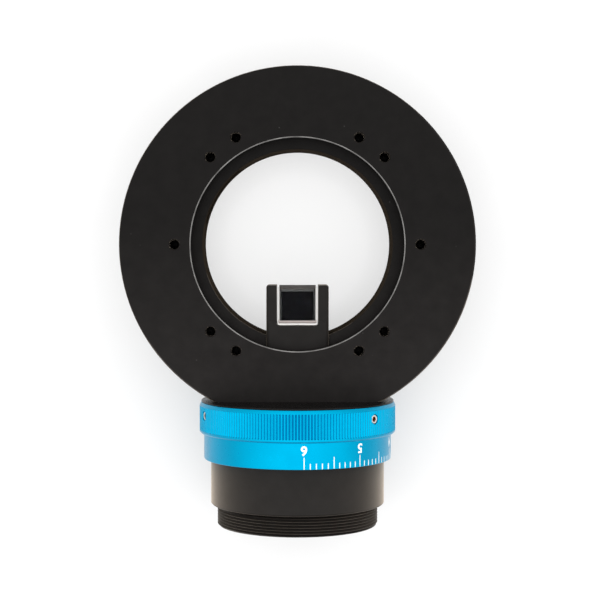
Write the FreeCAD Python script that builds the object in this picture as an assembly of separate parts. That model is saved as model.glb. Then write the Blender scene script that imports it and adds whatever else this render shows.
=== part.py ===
import FreeCAD, Part
import math
import os

# Off-axis guider with a helical focuser, in millimetres.
# The origin is the centre of the telescope-side face, on the optical axis.
# +Z points towards the telescope, and the focuser leaves the body along -Y.
# Lengths called "out" are measured from the optical axis along -Y.

# ---------------------------------------------------------------- driving dimensions

# Main body
BODY_R = 45.8                 # outer radius of the round body
BODY_EDGE = 0.4               # chamfer of its outer edges
FLAT_CUT = 5.3                # how much the focuser flat takes off the radius
COVER_SCOPE = 3.25            # metal between the telescope-side face and the prism stem
COVER_CAMERA = 3.25           # metal between the prism stem and the camera-side face
APERTURE_R = 24.7             # clear light path
REGISTER_R = 27.4             # recess that locates the telescope-side adapter
REGISTER_DEPTH = 3.1
REGISTER_MOUTH = 0.4          # chamfer at the mouth of the recess
RELIEF_CUT = 0.4              # extra radius of the relief under the register wall
FLOOR_DEPTH = 4.75            # depth of the floor of the recess
FLOOR_EDGE = 0.2              # chamfer where the floor meets the aperture

# Tapped holes in the telescope-side face
FACE_PCD = 63.2
FACE_HOLE_R = 1.25            # tapping size for M3
FACE_HOLE_DEPTH = 6.0
FACE_HOLE_MOUTH = 0.15
FACE_HOLE_ANGLES = (0, 60, 120, 180, 240, 300, 45, 135, 225, 315)

# Prism and its stem
PRISM_LEG = 10.0
PRISM_BEVEL = 0.3
PRISM_RECESS = 0.5            # metal of the stem above and below the prism
BOND_GAP = 0.4                # glue line between the prism and each cheek
BOND_MARGIN = 0.9             # how far the glue stays inside the prism's side
CHEEK = 2.7                   # thickness of the two cheeks
CHEEK_STEP = 0.3              # how far the tops of the cheeks lie below the stem
CHEEK_LENGTH = 9.4
CHEEK_CORNER = 0.6
STEM_TIP_OUT = 10.5           # inner end of the cheeks, from the optical axis
TIP_GAP = 0.1                 # prism edge behind the ends of the cheeks
POCKET_GAP = 0.4              # space between the prism's exit face and the stem
POCKET_CORNER = 0.7
STEM_EDGE = 1.1               # radius of the stem's long edges
STEM_TAIL = 1.6               # how far the stem stands past the flat at rest
TUNNEL_WALL = 1.0             # stem wall above and below the light tunnel
STEM_CLEARANCE = 0.1          # around the stem in the body's port

# Camera-side adapter
ADAPTER_FLANGE_R = 36.0
ADAPTER_FLANGE = 2.0
ADAPTER_EDGE = 0.2
ADAPTER_CLEARANCE = 0.1       # around the flange in the body's seat
CAMERA_THREAD_R = 27.0        # M54 x 0.75, male
CAMERA_THREAD_LENGTH = 4.0
CAMERA_CRESTS = 4
ADAPTER_SCREW_COUNT = 6
ADAPTER_SCREW_LENGTH = 6.0

# Focuser
TUBE_R = 22.7                 # outside of the drawtube where it shows
TUBE_STEP = 0.8               # the helicoid part is smaller by this
TUBE_WALL = 1.8               # wall of the helicoid part
TUBE_EXPOSED = 12.0           # tube that shows at rest, up to its thread
TUBE_EDGE = 0.4
SLIDE_CLEARANCE = 0.1         # radial, between tube and ring, tube and sleeve, ring and hub
SLEEVE_WALL = 1.4
HUB_GAP = 0.15                # radial, between the helicoid part and the hub
HUB_WALL = 1.15
HUB_LENGTH = 4.95
BASE_FLOOR = 0.8              # floor between hub and sleeve
FLANGE = 0.35                 # thin flange that shows between the body and the ring
FLANGE_INSET = 0.45           # the flange's radius is smaller than the knurl's by this
FLANGE_EDGE = 0.15
BASE_PLATE = 2.9
PORT_MARGIN = 0.4             # around the stem in the base plate
RING_GAP = 0.1                # axial, between flange and ring
RING_WALL = 2.35              # around the hub
COLLAR_WALL = 1.7             # around the drawtube
KNURL_LENGTH = 8.15
KNURL_EDGE = 0.45             # radial depth of the knurled band's chamfers
KNURL_REAR_EDGE = 0.85        # axial length of the chamfer towards the body
COLLAR_EDGE = 0.3
AXIAL_GAP = 0.2               # between faces that pass each other end to end

# Helicoid: right-hand, four starts
TRAVEL = 6.0
LEAD = 10.0
STARTS = 4
GROOVE_WIDTH = 1.4
GROOVE_DEPTH = 0.5
RIB_WIDTH = 1.1
RIB_ENGAGEMENT = 2.0          # ribs still in their grooves at full travel
TUBE_REAR_GAP = 0.3           # drawtube to the floor of the base at rest
HELIX_LEAD_IN = 0.8           # cutters start and end this far outside the stretch they cut
CUT_THROUGH = 1.0             # how far cutters stand past the faces they open

# Guide-camera thread, M42 x 0.75, male
GUIDE_THREAD_R = 21.0
GUIDE_THREAD_LENGTH = 5.5
GUIDE_CRESTS = 6
GUIDE_THREAD_WALL = 2.5
BORE_STEP_GAP = 6.0           # from the guide sleeve's end to the narrow part of the bore

# Thread form, cut as separate rings
PITCH = 0.75
CREST = 0.15
ROOT = 0.10
THREAD_DEPTH = 0.433
UNDERCUT = 0.25               # extra depth of the relief at the start of a thread

# Screws and pins
M3_R = 1.5
SEAT = 0.02                   # radial play of screws and pins in their holes
SCREW_HOLE_R = 1.7            # clearance hole for M3
HOLE_END = 1.0                # hole left below the end of a screw
CAP_HEAD_R = 2.75
CAP_HEAD = 3.0
CAP_SOCKET = 2.5              # across flats
CAP_SOCKET_DEPTH = 1.5
CSK_HEAD_R = 2.75
CSK_RIM = 0.15
CSK_SOCKET = 2.0
CSK_SOCKET_DEPTH = 1.1
SET_SOCKET = 1.5
SET_SOCKET_DEPTH = 1.2
SET_SINK = 0.1                # set screws end this far below their surface
BASE_SCREW_X = 14.5
BASE_SCREW_Z = 4.5
BASE_SCREW_DEPTH = 7.0        # in the body
LOCK_SCREW_X = 4.5
LOCK_SCREW_INSET = 2.1        # from the flat
LOCK_TIP_R = 1.2
LOCK_TIP = 0.6
LOCK_TIP_GAP = 0.05
RETAINER_R = 1.25             # M2.5
RETAINER_SOCKET = 1.3         # across flats
RETAINER_OUT = 3.1            # retaining screws, from the rear face of the ring
RETAINER_ANGLES = (50, 170, 290)
RETAINER_SINK = 0.3           # screw end below the knurled surface
DOG_R = 0.65
DOG_GAP = 0.1                 # dog point to the sides of its groove
DOG_END_GAP = 0.15            # dog point to the bottom of its groove
RETAINER_GROOVE = 0.4         # depth of the groove in the hub
PIN_R = 1.0
PIN_ANGLES = (60, 180, 300)
PIN_OUT = 2.8                 # guide pins, from the base's floor
PIN_REACH = 1.1               # how far a pin stands into its slot
PIN_SINK = 0.1                # pin end below the bottom of the grooves
SLOT_GAP = 0.05               # each side of a guide pin
SLEEVE_PAST_PIN = 6.0         # sleeve beyond the pins at full travel

# ---------------------------------------------------------------- worked-out places

FLAT_OUT = BODY_R - FLAT_CUT
STEM_WIDTH = PRISM_LEG + 2 * (BOND_GAP + CHEEK)
STEM_HEIGHT = PRISM_LEG + 2 * PRISM_RECESS
BODY_THICKNESS = COVER_SCOPE + STEM_HEIGHT + COVER_CAMERA
AXIS_Z = -(COVER_SCOPE + STEM_HEIGHT / 2)
STEM_TOP_Z = -COVER_SCOPE
STEM_BOTTOM_Z = STEM_TOP_Z - STEM_HEIGHT
STEM_END_OUT = FLAT_OUT + STEM_TAIL
CHEEK_END_OUT = STEM_TIP_OUT + CHEEK_LENGTH
PRISM_TIP_OUT = STEM_TIP_OUT + TIP_GAP
PRISM_EXIT_OUT = PRISM_TIP_OUT + PRISM_LEG
POCKET_END_OUT = PRISM_EXIT_OUT + POCKET_GAP
TUNNEL = PRISM_LEG + 2 * PRISM_RECESS - 2 * TUNNEL_WALL

BACK_Z = -BODY_THICKNESS
ADAPTER_SEAT_Z = BACK_Z + ADAPTER_FLANGE
LOCK_SCREW_OUT = FLAT_OUT - LOCK_SCREW_INSET

FLANGE_FACE = FLAT_OUT + FLANGE
FLOOR_FACE = FLAT_OUT + BASE_FLOOR
HUB_END = FLANGE_FACE + HUB_LENGTH
PLATE_FACE = FLAT_OUT + BASE_PLATE
TUBE_REAR = FLOOR_FACE + TUBE_REAR_GAP
HELIX_START = TUBE_REAR - HELIX_LEAD_IN
RIB_START = HUB_END + 2 * AXIAL_GAP
RIB_END = TUBE_REAR + TRAVEL + RIB_ENGAGEMENT
TUBE_SHOULDER = RIB_END + AXIAL_GAP
COLLAR_END = TUBE_SHOULDER + TRAVEL
TUBE_FRONT = COLLAR_END + TUBE_EXPOSED
TUBE_END = TUBE_FRONT + GUIDE_THREAD_LENGTH
PIN_AT = FLOOR_FACE + PIN_OUT
SLEEVE_END = PIN_AT + TRAVEL + SLEEVE_PAST_PIN
BORE_STEP = SLEEVE_END + BORE_STEP_GAP
RING_REAR = FLANGE_FACE + RING_GAP
KNURL_END = RING_REAR + KNURL_LENGTH
RETAINER_AT = RING_REAR + RETAINER_OUT

HELICOID_R = TUBE_R - TUBE_STEP
GROOVE_R = HELICOID_R - GROOVE_DEPTH
TUBE_BORE_R = HELICOID_R - TUBE_WALL
SLEEVE_R = TUBE_BORE_R - SLIDE_CLEARANCE
SLEEVE_BORE_R = SLEEVE_R - SLEEVE_WALL
RIB_BORE_R = HELICOID_R + SLIDE_CLEARANCE
RIB_TIP_R = GROOVE_R + SLIDE_CLEARANCE
COLLAR_BORE_R = TUBE_R + SLIDE_CLEARANCE
COLLAR_R = COLLAR_BORE_R + COLLAR_WALL
HUB_BORE_R = HELICOID_R + HUB_GAP
HUB_R = HUB_BORE_R + HUB_WALL
RETAINER_GROOVE_R = HUB_R - RETAINER_GROOVE
RING_BORE_R = HUB_R + SLIDE_CLEARANCE
KNURL_R = RING_BORE_R + RING_WALL
FLANGE_R = KNURL_R - FLANGE_INSET
THREAD_BORE_R = GUIDE_THREAD_R - GUIDE_THREAD_WALL


# ---------------------------------------------------------------- shape helpers

def vector(x, y, z):
    return FreeCAD.Vector(x, y, z)


def revolve(points):
    """Turn a closed outline of (radius, height) points about Z."""
    corners = [vector(r, 0, h) for r, h in points]
    face = Part.Face(Part.makePolygon(corners + corners[:1]))
    return face.revolve(vector(0, 0, 0), vector(0, 0, 1), 360)


def tube(outer, inner, low, high):
    """A plain tube about Z between two heights."""
    return revolve([(inner, low), (outer, low), (outer, high), (inner, high)])


def rod(radius, low, high):
    """A plain cylinder about Z between two heights."""
    return Part.makeCylinder(radius, high - low, vector(0, 0, low))


def box(low, high):
    """A box from its lowest to its highest corner."""
    size = [b - a for a, b in zip(low, high)]
    return Part.makeBox(size[0], size[1], size[2], vector(*low))


def spin(shape, angle):
    """A copy turned about Z by an angle in degrees."""
    return shape.rotated(vector(0, 0, 0), vector(0, 0, 1), angle)


def move(shape, x, y, z):
    return shape.translated(vector(x, y, z))


def on_focuser(shape):
    """Lay a shape built along Z on the focuser's axis, where Z becomes -Y."""
    turned = shape.rotated(vector(0, 0, 0), vector(1, 0, 0), 90)
    return move(turned, 0, 0, AXIS_Z)


def radial(shape, angle, height):
    """Stand a shape built along Z on a radius, clockwise from local Y, at a height."""
    laid = shape.rotated(vector(0, 0, 0), vector(1, 0, 0), -90)
    return move(spin(laid, -angle), 0, 0, height)


def hexagon(across_flats, low, high):
    """A hexagonal prism about Z."""
    corner = across_flats / math.sqrt(3)
    points = []
    for step in range(7):
        turn = math.radians(60 * step)
        points.append(vector(corner * math.cos(turn), corner * math.sin(turn), low))
    return Part.Face(Part.makePolygon(points)).extrude(vector(0, 0, high - low))


def on_circle(radius, angles):
    """Points on a circle about the optical axis."""
    turns = [math.radians(angle) for angle in angles]
    return [(radius * math.cos(turn), radius * math.sin(turn)) for turn in turns]


def edges_along(shape, axis):
    """The straight edges of a shape that run along one axis."""
    found = []
    for edge in shape.Edges:
        run = edge.valueAt(edge.LastParameter) - edge.valueAt(edge.FirstParameter)
        if run.Length > 0 and abs(abs(run.normalize().dot(axis)) - 1) < 1e-6:
            found.append(edge)
    return found


def thread_outline(major, start, crests):
    """Outline points of thread rings: relief first, then one flat crest per pitch."""
    rise = (PITCH - CREST - ROOT) / 2
    root = major - THREAD_DEPTH
    points = [(root - UNDERCUT, start), (root - UNDERCUT, start + PITCH - ROOT), (root, start + PITCH)]
    for index in range(crests):
        foot = start + PITCH * (index + 1)
        points.append((major, foot + rise))
        points.append((major, foot + rise + CREST))
        points.append((root, foot + 2 * rise + CREST))
        if index < crests - 1:
            points.append((root, foot + PITCH))
    return points


def helix_cutters(inner, outer, width, start, end):
    """Bars that wind about Z, one per start of the helicoid, past both ends of a stretch."""
    half = width / 2
    sides = [(inner, -half), (outer, -half), (outer, half), (inner, half)]
    corners = [vector(r, 0, h) for r, h in sides]
    profile = Part.makePolygon(corners + corners[:1])
    height = end - start + HELIX_LEAD_IN
    path = Part.Wire(Part.makeHelix(LEAD, height, (inner + outer) / 2).Edges)
    bar = move(path.makePipeShell([profile], True, True), 0, 0, start)
    return [spin(bar, index * 360 / STARTS) for index in range(STARTS)]


# ---------------------------------------------------------------- screws

def cap_screw(length):
    """Socket head cap screw: seat at zero, head upwards, shank downwards."""
    screw = rod(CAP_HEAD_R, 0, CAP_HEAD).fuse(rod(M3_R, -length, 0))
    return screw.cut(hexagon(CAP_SOCKET, CAP_HEAD - CAP_SOCKET_DEPTH, CAP_HEAD)).removeSplitter()


def countersunk_outline(play):
    """Half outline of a countersunk head from its face at zero down to the shank."""
    head = CSK_HEAD_R + play
    cone_end = -CSK_RIM - CSK_HEAD_R + M3_R
    return [(0, 0), (head, 0), (head, -CSK_RIM), (M3_R + play, cone_end)]


def countersunk_screw(length):
    """Countersunk screw: face at zero, pointing down."""
    screw = revolve(countersunk_outline(0) + [(M3_R, -length), (0, -length)])
    return screw.cut(hexagon(CSK_SOCKET, -CSK_SOCKET_DEPTH, 0))


def set_screw(radius, socket, length):
    """Flat point set screw: socket face at zero, pointing down."""
    return rod(radius, -length, 0).cut(hexagon(socket, -SET_SOCKET_DEPTH, 0))


# ---------------------------------------------------------------- pieces

def stem_bar(grow):
    """The rounded bar of the stem, from the optical axis outwards, grown on all sides."""
    half = STEM_WIDTH / 2 + grow
    low = (-half, -STEM_END_OUT, STEM_BOTTOM_Z - grow)
    high = (half, -STEM_TIP_OUT, STEM_TOP_Z + grow)
    bar = box(low, high)
    return bar.makeFillet(STEM_EDGE + grow, edges_along(bar, vector(0, 1, 0)))


def make_main_body():
    edge = BODY_EDGE
    outline = [(APERTURE_R, ADAPTER_SEAT_Z), (APERTURE_R, -FLOOR_DEPTH - FLOOR_EDGE)]
    outline += [(APERTURE_R + FLOOR_EDGE, -FLOOR_DEPTH), (REGISTER_R + RELIEF_CUT, -FLOOR_DEPTH)]
    outline += [(REGISTER_R + RELIEF_CUT, -REGISTER_DEPTH), (REGISTER_R, -REGISTER_DEPTH)]
    outline += [(REGISTER_R, -REGISTER_MOUTH), (REGISTER_R + REGISTER_MOUTH, 0)]
    outline += [(BODY_R - edge, 0), (BODY_R, -edge), (BODY_R, BACK_Z + edge), (BODY_R - edge, BACK_Z)]
    seat_r = ADAPTER_FLANGE_R + ADAPTER_CLEARANCE
    outline += [(seat_r, BACK_Z), (seat_r, ADAPTER_SEAT_Z)]
    body = revolve(outline)
    beyond_flat = (-BODY_R, -2 * BODY_R, BACK_Z - CUT_THROUGH)
    body = body.cut(box(beyond_flat, (BODY_R, -FLAT_OUT, CUT_THROUGH)))
    tools = [stem_bar(STEM_CLEARANCE)]
    mouth = FACE_HOLE_R + FACE_HOLE_MOUTH
    tip = FACE_HOLE_DEPTH + FACE_HOLE_R / math.sqrt(3)
    drill = [(0, 0), (mouth, 0), (FACE_HOLE_R, -FACE_HOLE_MOUTH), (FACE_HOLE_R, -FACE_HOLE_DEPTH), (0, -tip)]
    for x, y in on_circle(FACE_PCD / 2, FACE_HOLE_ANGLES):
        tools.append(move(revolve(drill), x, y, 0))
    screw_end = BACK_Z + ADAPTER_SCREW_LENGTH + HOLE_END
    for x, y in adapter_screw_places():
        tools.append(move(rod(M3_R + SEAT, ADAPTER_SEAT_Z, screw_end), x, y, 0))
    for x, z in base_screw_places():
        hole = rod(M3_R + SEAT, FLAT_OUT - BASE_SCREW_DEPTH - HOLE_END, FLAT_OUT)
        tools.append(on_focuser(move(hole, x, z, 0)))
    for x in (-LOCK_SCREW_X, LOCK_SCREW_X):
        hole = rod(M3_R + SEAT, BACK_Z - CUT_THROUGH, STEM_BOTTOM_Z + CUT_THROUGH)
        tools.append(move(hole, x, -LOCK_SCREW_OUT, 0))
    return body.cut(tools)


def adapter_screw_places():
    angles = [360 * index / ADAPTER_SCREW_COUNT for index in range(ADAPTER_SCREW_COUNT)]
    return on_circle(FACE_PCD / 2, angles)


def base_screw_places():
    return [(x, z) for x in (-BASE_SCREW_X, BASE_SCREW_X) for z in (-BASE_SCREW_Z, BASE_SCREW_Z)]


def make_camera_adapter():
    """The threaded ring, built upside down and then turned over."""
    seat = -ADAPTER_SEAT_Z
    face = -BACK_Z
    end = face + CAMERA_THREAD_LENGTH
    thread = thread_outline(CAMERA_THREAD_R, face, CAMERA_CRESTS)
    outline = [(APERTURE_R, seat), (ADAPTER_FLANGE_R, seat), (ADAPTER_FLANGE_R, face - ADAPTER_EDGE)]
    outline += [(ADAPTER_FLANGE_R - ADAPTER_EDGE, face)] + thread + [(thread[-1][0], end), (APERTURE_R, end)]
    ring = revolve(outline).rotated(vector(0, 0, 0), vector(1, 0, 0), 180)
    below = -ADAPTER_FLANGE - CUT_THROUGH
    head = revolve(countersunk_outline(SEAT) + [(M3_R + SEAT, below), (0, below)])
    holes = []
    for x, y in adapter_screw_places():
        holes.append(move(head.rotated(vector(0, 0, 0), vector(1, 0, 0), 180), x, y, BACK_Z))
    return ring.cut(holes)


def make_adapter_screws():
    screw = countersunk_screw(ADAPTER_SCREW_LENGTH).rotated(vector(0, 0, 0), vector(1, 0, 0), 180)
    return [move(screw, x, y, BACK_Z) for x, y in adapter_screw_places()]


def make_base_screws():
    screw = cap_screw(BASE_PLATE + BASE_SCREW_DEPTH)
    return [on_focuser(move(screw, x, z, PLATE_FACE)) for x, z in base_screw_places()]


def make_lock_screws():
    """Set screws from the camera side, each with a soft tip against the stem."""
    tip_top = STEM_BOTTOM_Z - LOCK_TIP_GAP
    face = BACK_Z + SET_SINK
    length = tip_top - LOCK_TIP - face
    screw = set_screw(M3_R, SET_SOCKET, length).rotated(vector(0, 0, 0), vector(1, 0, 0), 180)
    screws = []
    tips = []
    for x in (-LOCK_SCREW_X, LOCK_SCREW_X):
        screws.append(move(screw, x, -LOCK_SCREW_OUT, face))
        tips.append(move(rod(LOCK_TIP_R, tip_top - LOCK_TIP, tip_top), x, -LOCK_SCREW_OUT, 0))
    return screws, tips


def make_prism_stem():
    stem = stem_bar(0)
    half = STEM_WIDTH / 2
    corners = []
    for edge in edges_along(stem, vector(0, 0, 1)):
        if abs(edge.BoundBox.YMax + STEM_TIP_OUT) < 1e-6:
            corners.append(edge)
    if corners:
        stem = stem.makeFillet(CHEEK_CORNER, corners)
    step_low = (-half, -CHEEK_END_OUT, STEM_TOP_Z - CHEEK_STEP)
    step = box(step_low, (half, -STEM_TIP_OUT + CUT_THROUGH, STEM_TOP_Z + CUT_THROUGH))
    pocket_half = PRISM_LEG / 2 + BOND_GAP
    pocket_low = (-pocket_half, -POCKET_END_OUT, STEM_BOTTOM_Z - CUT_THROUGH)
    pocket = box(pocket_low, (pocket_half, -STEM_TIP_OUT + 2 * POCKET_CORNER, STEM_TOP_Z + CUT_THROUGH))
    far = [edge for edge in edges_along(pocket, vector(0, 0, 1)) if edge.BoundBox.YMax < -CHEEK_END_OUT]
    pocket = pocket.makeFillet(POCKET_CORNER, far)
    half_tunnel = TUNNEL / 2
    tunnel_low = (-half_tunnel, -STEM_END_OUT - CUT_THROUGH, AXIS_Z - half_tunnel)
    tunnel_high = (half_tunnel, -PRISM_EXIT_OUT, AXIS_Z + half_tunnel)
    return stem.cut([step, pocket, box(tunnel_low, tunnel_high)])


def prism_wedge(inset, low_x, high_x):
    """Right-angle wedge, its square corner at the exit edge of the entrance face."""
    top = AXIS_Z + PRISM_LEG / 2 - inset
    exit_y = -PRISM_EXIT_OUT + inset
    leg = PRISM_LEG - inset * (2 + math.sqrt(2))
    corners = [vector(low_x, exit_y, top), vector(low_x, exit_y + leg, top), vector(low_x, exit_y, top - leg)]
    return Part.Face(Part.makePolygon(corners + corners[:1])).extrude(vector(high_x - low_x, 0, 0))


def make_prism():
    wedge = prism_wedge(0, -PRISM_LEG / 2, PRISM_LEG / 2)
    return wedge.makeChamfer(PRISM_BEVEL, wedge.Edges)


def make_adhesive(side):
    near = PRISM_LEG / 2
    far = near + BOND_GAP
    if side < 0:
        return prism_wedge(BOND_MARGIN, -far, -near)
    return prism_wedge(BOND_MARGIN, near, far)


def make_focuser_base():
    groove_half = DOG_R + DOG_GAP
    outline = [(0, FLAT_OUT), (FLANGE_R - FLANGE_EDGE, FLAT_OUT), (FLANGE_R, FLAT_OUT + FLANGE_EDGE)]
    outline += [(FLANGE_R, FLANGE_FACE), (HUB_R, FLANGE_FACE)]
    outline += [(HUB_R, RETAINER_AT - groove_half), (RETAINER_GROOVE_R, RETAINER_AT - groove_half)]
    outline += [(RETAINER_GROOVE_R, RETAINER_AT + groove_half), (HUB_R, RETAINER_AT + groove_half)]
    outline += [(HUB_R, HUB_END), (HUB_BORE_R, HUB_END), (HUB_BORE_R, FLOOR_FACE), (SLEEVE_R, FLOOR_FACE)]
    outline += [(SLEEVE_R, SLEEVE_END), (SLEEVE_BORE_R, SLEEVE_END)]
    outline += [(SLEEVE_BORE_R, PLATE_FACE), (0, PLATE_FACE)]
    base = revolve(outline)
    port_x = STEM_WIDTH / 2 + PORT_MARGIN
    port_z = STEM_HEIGHT / 2 + PORT_MARGIN
    low = FLAT_OUT - CUT_THROUGH
    high = PLATE_FACE + CUT_THROUGH
    tools = [box((-port_x, -port_z, low), (port_x, port_z, high))]
    for x, z in base_screw_places():
        tools.append(move(rod(SCREW_HOLE_R, low, high), x, z, 0))
    slot_half = PIN_R + SLOT_GAP
    slot_low = (-slot_half, SLEEVE_BORE_R - CUT_THROUGH, PIN_AT - slot_half)
    slot = box(slot_low, (slot_half, SLEEVE_R + CUT_THROUGH, SLEEVE_END + CUT_THROUGH))
    for angle in PIN_ANGLES:
        tools.append(spin(slot, -angle))
    return on_focuser(base.cut(tools))


def make_focus_ring():
    """Knurled ring and collar; what its helical cutters leave in the bore are the ribs."""
    edge = KNURL_EDGE
    outline = [(RING_BORE_R, RING_REAR), (KNURL_R - edge, RING_REAR), (KNURL_R, RING_REAR + KNURL_REAR_EDGE)]
    outline += [(KNURL_R, KNURL_END - edge), (KNURL_R - edge, KNURL_END), (COLLAR_R, KNURL_END)]
    outline += [(COLLAR_R, COLLAR_END - COLLAR_EDGE), (COLLAR_R - COLLAR_EDGE, COLLAR_END)]
    outline += [(COLLAR_BORE_R, COLLAR_END), (COLLAR_BORE_R, RIB_END), (RIB_TIP_R, RIB_END)]
    outline += [(RIB_TIP_R, RIB_START), (RING_BORE_R, RIB_START)]
    space = LEAD / STARTS - RIB_WIDTH
    start = HELIX_START + LEAD / STARTS / 2
    cutters = helix_cutters(RIB_TIP_R - CUT_THROUGH, RIB_BORE_R, space, start, RIB_END)
    hole = rod(RETAINER_R + SEAT, RING_BORE_R - CUT_THROUGH, KNURL_R + CUT_THROUGH)
    cutters += [radial(hole, angle, RETAINER_AT) for angle in RETAINER_ANGLES]
    return on_focuser(revolve(outline).cut(cutters))


def make_retaining_screws():
    """Dog point set screws that hold the ring on the hub and let it turn."""
    face = KNURL_R - RETAINER_SINK
    dog_end = RETAINER_GROOVE_R + DOG_END_GAP
    neck = RING_BORE_R + SLIDE_CLEARANCE
    body = move(set_screw(RETAINER_R, RETAINER_SOCKET, face - neck), 0, 0, face)
    screw = body.fuse(rod(DOG_R, dog_end, neck))
    return [on_focuser(radial(screw, angle, RETAINER_AT)) for angle in RETAINER_ANGLES]


def make_drawtube():
    """Grooved inner part and plain outer part with the guide-camera thread, as one piece."""
    inner = tube(HELICOID_R, TUBE_BORE_R, TUBE_REAR, TUBE_SHOULDER)
    outer_r = HELICOID_R + CUT_THROUGH
    cutters = helix_cutters(GROOVE_R, outer_r, GROOVE_WIDTH, HELIX_START, TUBE_SHOULDER)
    hole = rod(PIN_R + SEAT, TUBE_BORE_R - CUT_THROUGH, outer_r)
    cutters += [radial(hole, angle, PIN_AT) for angle in PIN_ANGLES]
    thread = thread_outline(GUIDE_THREAD_R, TUBE_FRONT, GUIDE_CRESTS)
    outline = [(TUBE_BORE_R, TUBE_SHOULDER), (TUBE_R, TUBE_SHOULDER)]
    outline += [(TUBE_R, TUBE_FRONT - TUBE_EDGE), (TUBE_R - TUBE_EDGE, TUBE_FRONT)]
    outline += thread + [(thread[-1][0], TUBE_END), (THREAD_BORE_R, TUBE_END)]
    outline += [(THREAD_BORE_R, BORE_STEP), (TUBE_BORE_R, BORE_STEP)]
    return on_focuser(inner.cut(cutters).fuse(revolve(outline)))


def make_guide_pins():
    pin = rod(PIN_R, SLEEVE_R - PIN_REACH, GROOVE_R - PIN_SINK)
    return [on_focuser(radial(pin, angle, PIN_AT)) for angle in PIN_ANGLES]


# ---------------------------------------------------------------- export

def numbered(name, shapes):
    """Name each of several like pieces, counting from one."""
    return {f"{name}_{index}": shape for index, shape in enumerate(shapes, 1)}


def make_pieces():
    """Every piece of the guider, by node name."""
    lock_screws, lock_tips = make_lock_screws()
    pieces = {
        "main_body": make_main_body(),
        "camera_adapter": make_camera_adapter(),
        "focuser_base": make_focuser_base(),
        "prism_stem": make_prism_stem(),
        "prism": make_prism(),
        "prism_adhesive_left": make_adhesive(-1),
        "prism_adhesive_right": make_adhesive(1),
        "focus_ring": make_focus_ring(),
        "drawtube": make_drawtube(),
    }
    pieces.update(numbered("camera_adapter_screw", make_adapter_screws()))
    pieces.update(numbered("base_screw", make_base_screws()))
    pieces.update(numbered("stem_lock_screw", lock_screws))
    pieces.update(numbered("stem_lock_tip", lock_tips))
    pieces.update(numbered("ring_retaining_screw", make_retaining_screws()))
    pieces.update(numbered("guide_pin", make_guide_pins()))
    return pieces


os.makedirs("parts", exist_ok=True)
for name, shape in make_pieces().items():
    shape.exportStep(f"parts/{name}.step")
    bounds = shape.BoundBox
    lows = (bounds.XMin, bounds.YMin, bounds.ZMin)
    highs = (bounds.XMax, bounds.YMax, bounds.ZMax)
    spans = "  ".join(f"{low:.2f}..{high:.2f}" for low, high in zip(lows, highs))
    print(f"{name}: {len(shape.Solids)} solid, valid {shape.isValid()}, {shape.Volume:.1f} mm3, {spans}")
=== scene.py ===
"""Off-axis guider with a helical focuser: the visible pieces, their finishes and the studio.

Lengths in the classes are in millimetres; meshes are made in metres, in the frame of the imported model.
The optical axis is Z and the focuser's axis runs along -Y. "Out" is a distance along -Y.
"""

import logging
import math
from dataclasses import dataclass, field
from enum import Enum

import bmesh
import bpy
import numpy as np
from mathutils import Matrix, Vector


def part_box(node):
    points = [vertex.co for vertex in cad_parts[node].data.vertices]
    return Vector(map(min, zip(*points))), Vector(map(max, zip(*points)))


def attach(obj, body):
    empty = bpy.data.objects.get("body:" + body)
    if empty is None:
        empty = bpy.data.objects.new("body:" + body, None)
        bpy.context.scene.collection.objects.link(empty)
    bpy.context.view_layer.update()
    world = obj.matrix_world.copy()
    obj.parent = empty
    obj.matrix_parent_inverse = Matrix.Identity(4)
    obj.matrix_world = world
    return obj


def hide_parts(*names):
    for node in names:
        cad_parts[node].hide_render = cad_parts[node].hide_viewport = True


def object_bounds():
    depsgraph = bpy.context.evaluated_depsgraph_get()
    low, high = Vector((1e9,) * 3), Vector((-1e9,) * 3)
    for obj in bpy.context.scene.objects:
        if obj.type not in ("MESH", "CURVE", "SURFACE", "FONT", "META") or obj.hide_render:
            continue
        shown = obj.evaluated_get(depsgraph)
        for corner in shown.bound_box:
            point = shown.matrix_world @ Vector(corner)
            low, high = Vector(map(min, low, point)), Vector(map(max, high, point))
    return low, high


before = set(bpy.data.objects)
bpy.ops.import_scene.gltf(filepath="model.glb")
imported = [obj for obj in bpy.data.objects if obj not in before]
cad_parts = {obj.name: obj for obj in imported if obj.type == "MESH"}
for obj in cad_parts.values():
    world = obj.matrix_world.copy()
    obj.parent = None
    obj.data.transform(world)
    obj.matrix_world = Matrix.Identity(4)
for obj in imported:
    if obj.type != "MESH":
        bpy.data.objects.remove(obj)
CAD_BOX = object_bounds()

MM = 0.001
MERGE = 2e-7
SHARP = math.radians(38)
FLAT = math.radians(0.5)
FACING = 0.98
THREAD_DEPTH = 0.6134
MARK_PROUD = 0.012
MARK_SUNK = 0.03
CORNER_STEPS = 2
CUT_PAST = 0.5
UPSIDE_DOWN = np.array([1, -1, -1])
SLAB_FACES = np.array([[0, 1, 2, 3], [4, 5, 6, 7], [0, 1, 5, 4], [1, 2, 6, 5], [2, 3, 7, 6], [3, 0, 4, 7]])
log = logging.getLogger("guider")

Array = np.ndarray
Colour = tuple[float, float, float]
Surface = tuple[Array, Array]
Socket = bpy.types.NodeSocket


class Axis(Enum):
    """Which axis a piece was turned about on the lathe."""

    OPTICAL = "optical"
    FOCUSER = "focuser"


# ---------------------------------------------------------------- places read from the frame

def span(node: str) -> tuple[Array, Array]:
    """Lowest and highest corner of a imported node, in millimetres."""
    low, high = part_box(node)
    return np.array(low) / MM, np.array(high) / MM


def out_span(node: str) -> tuple[float, float]:
    """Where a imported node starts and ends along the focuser's axis, counted outwards from the optical axis."""
    low, high = span(node)
    return -high[1], -low[1]


def focuser_height() -> float:
    """Height of the focuser's axis: the middle of the round drawtube's box."""
    low, high = span("drawtube")
    return (low[2] + high[2]) / 2


AXIS_HEIGHT = focuser_height()


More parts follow.
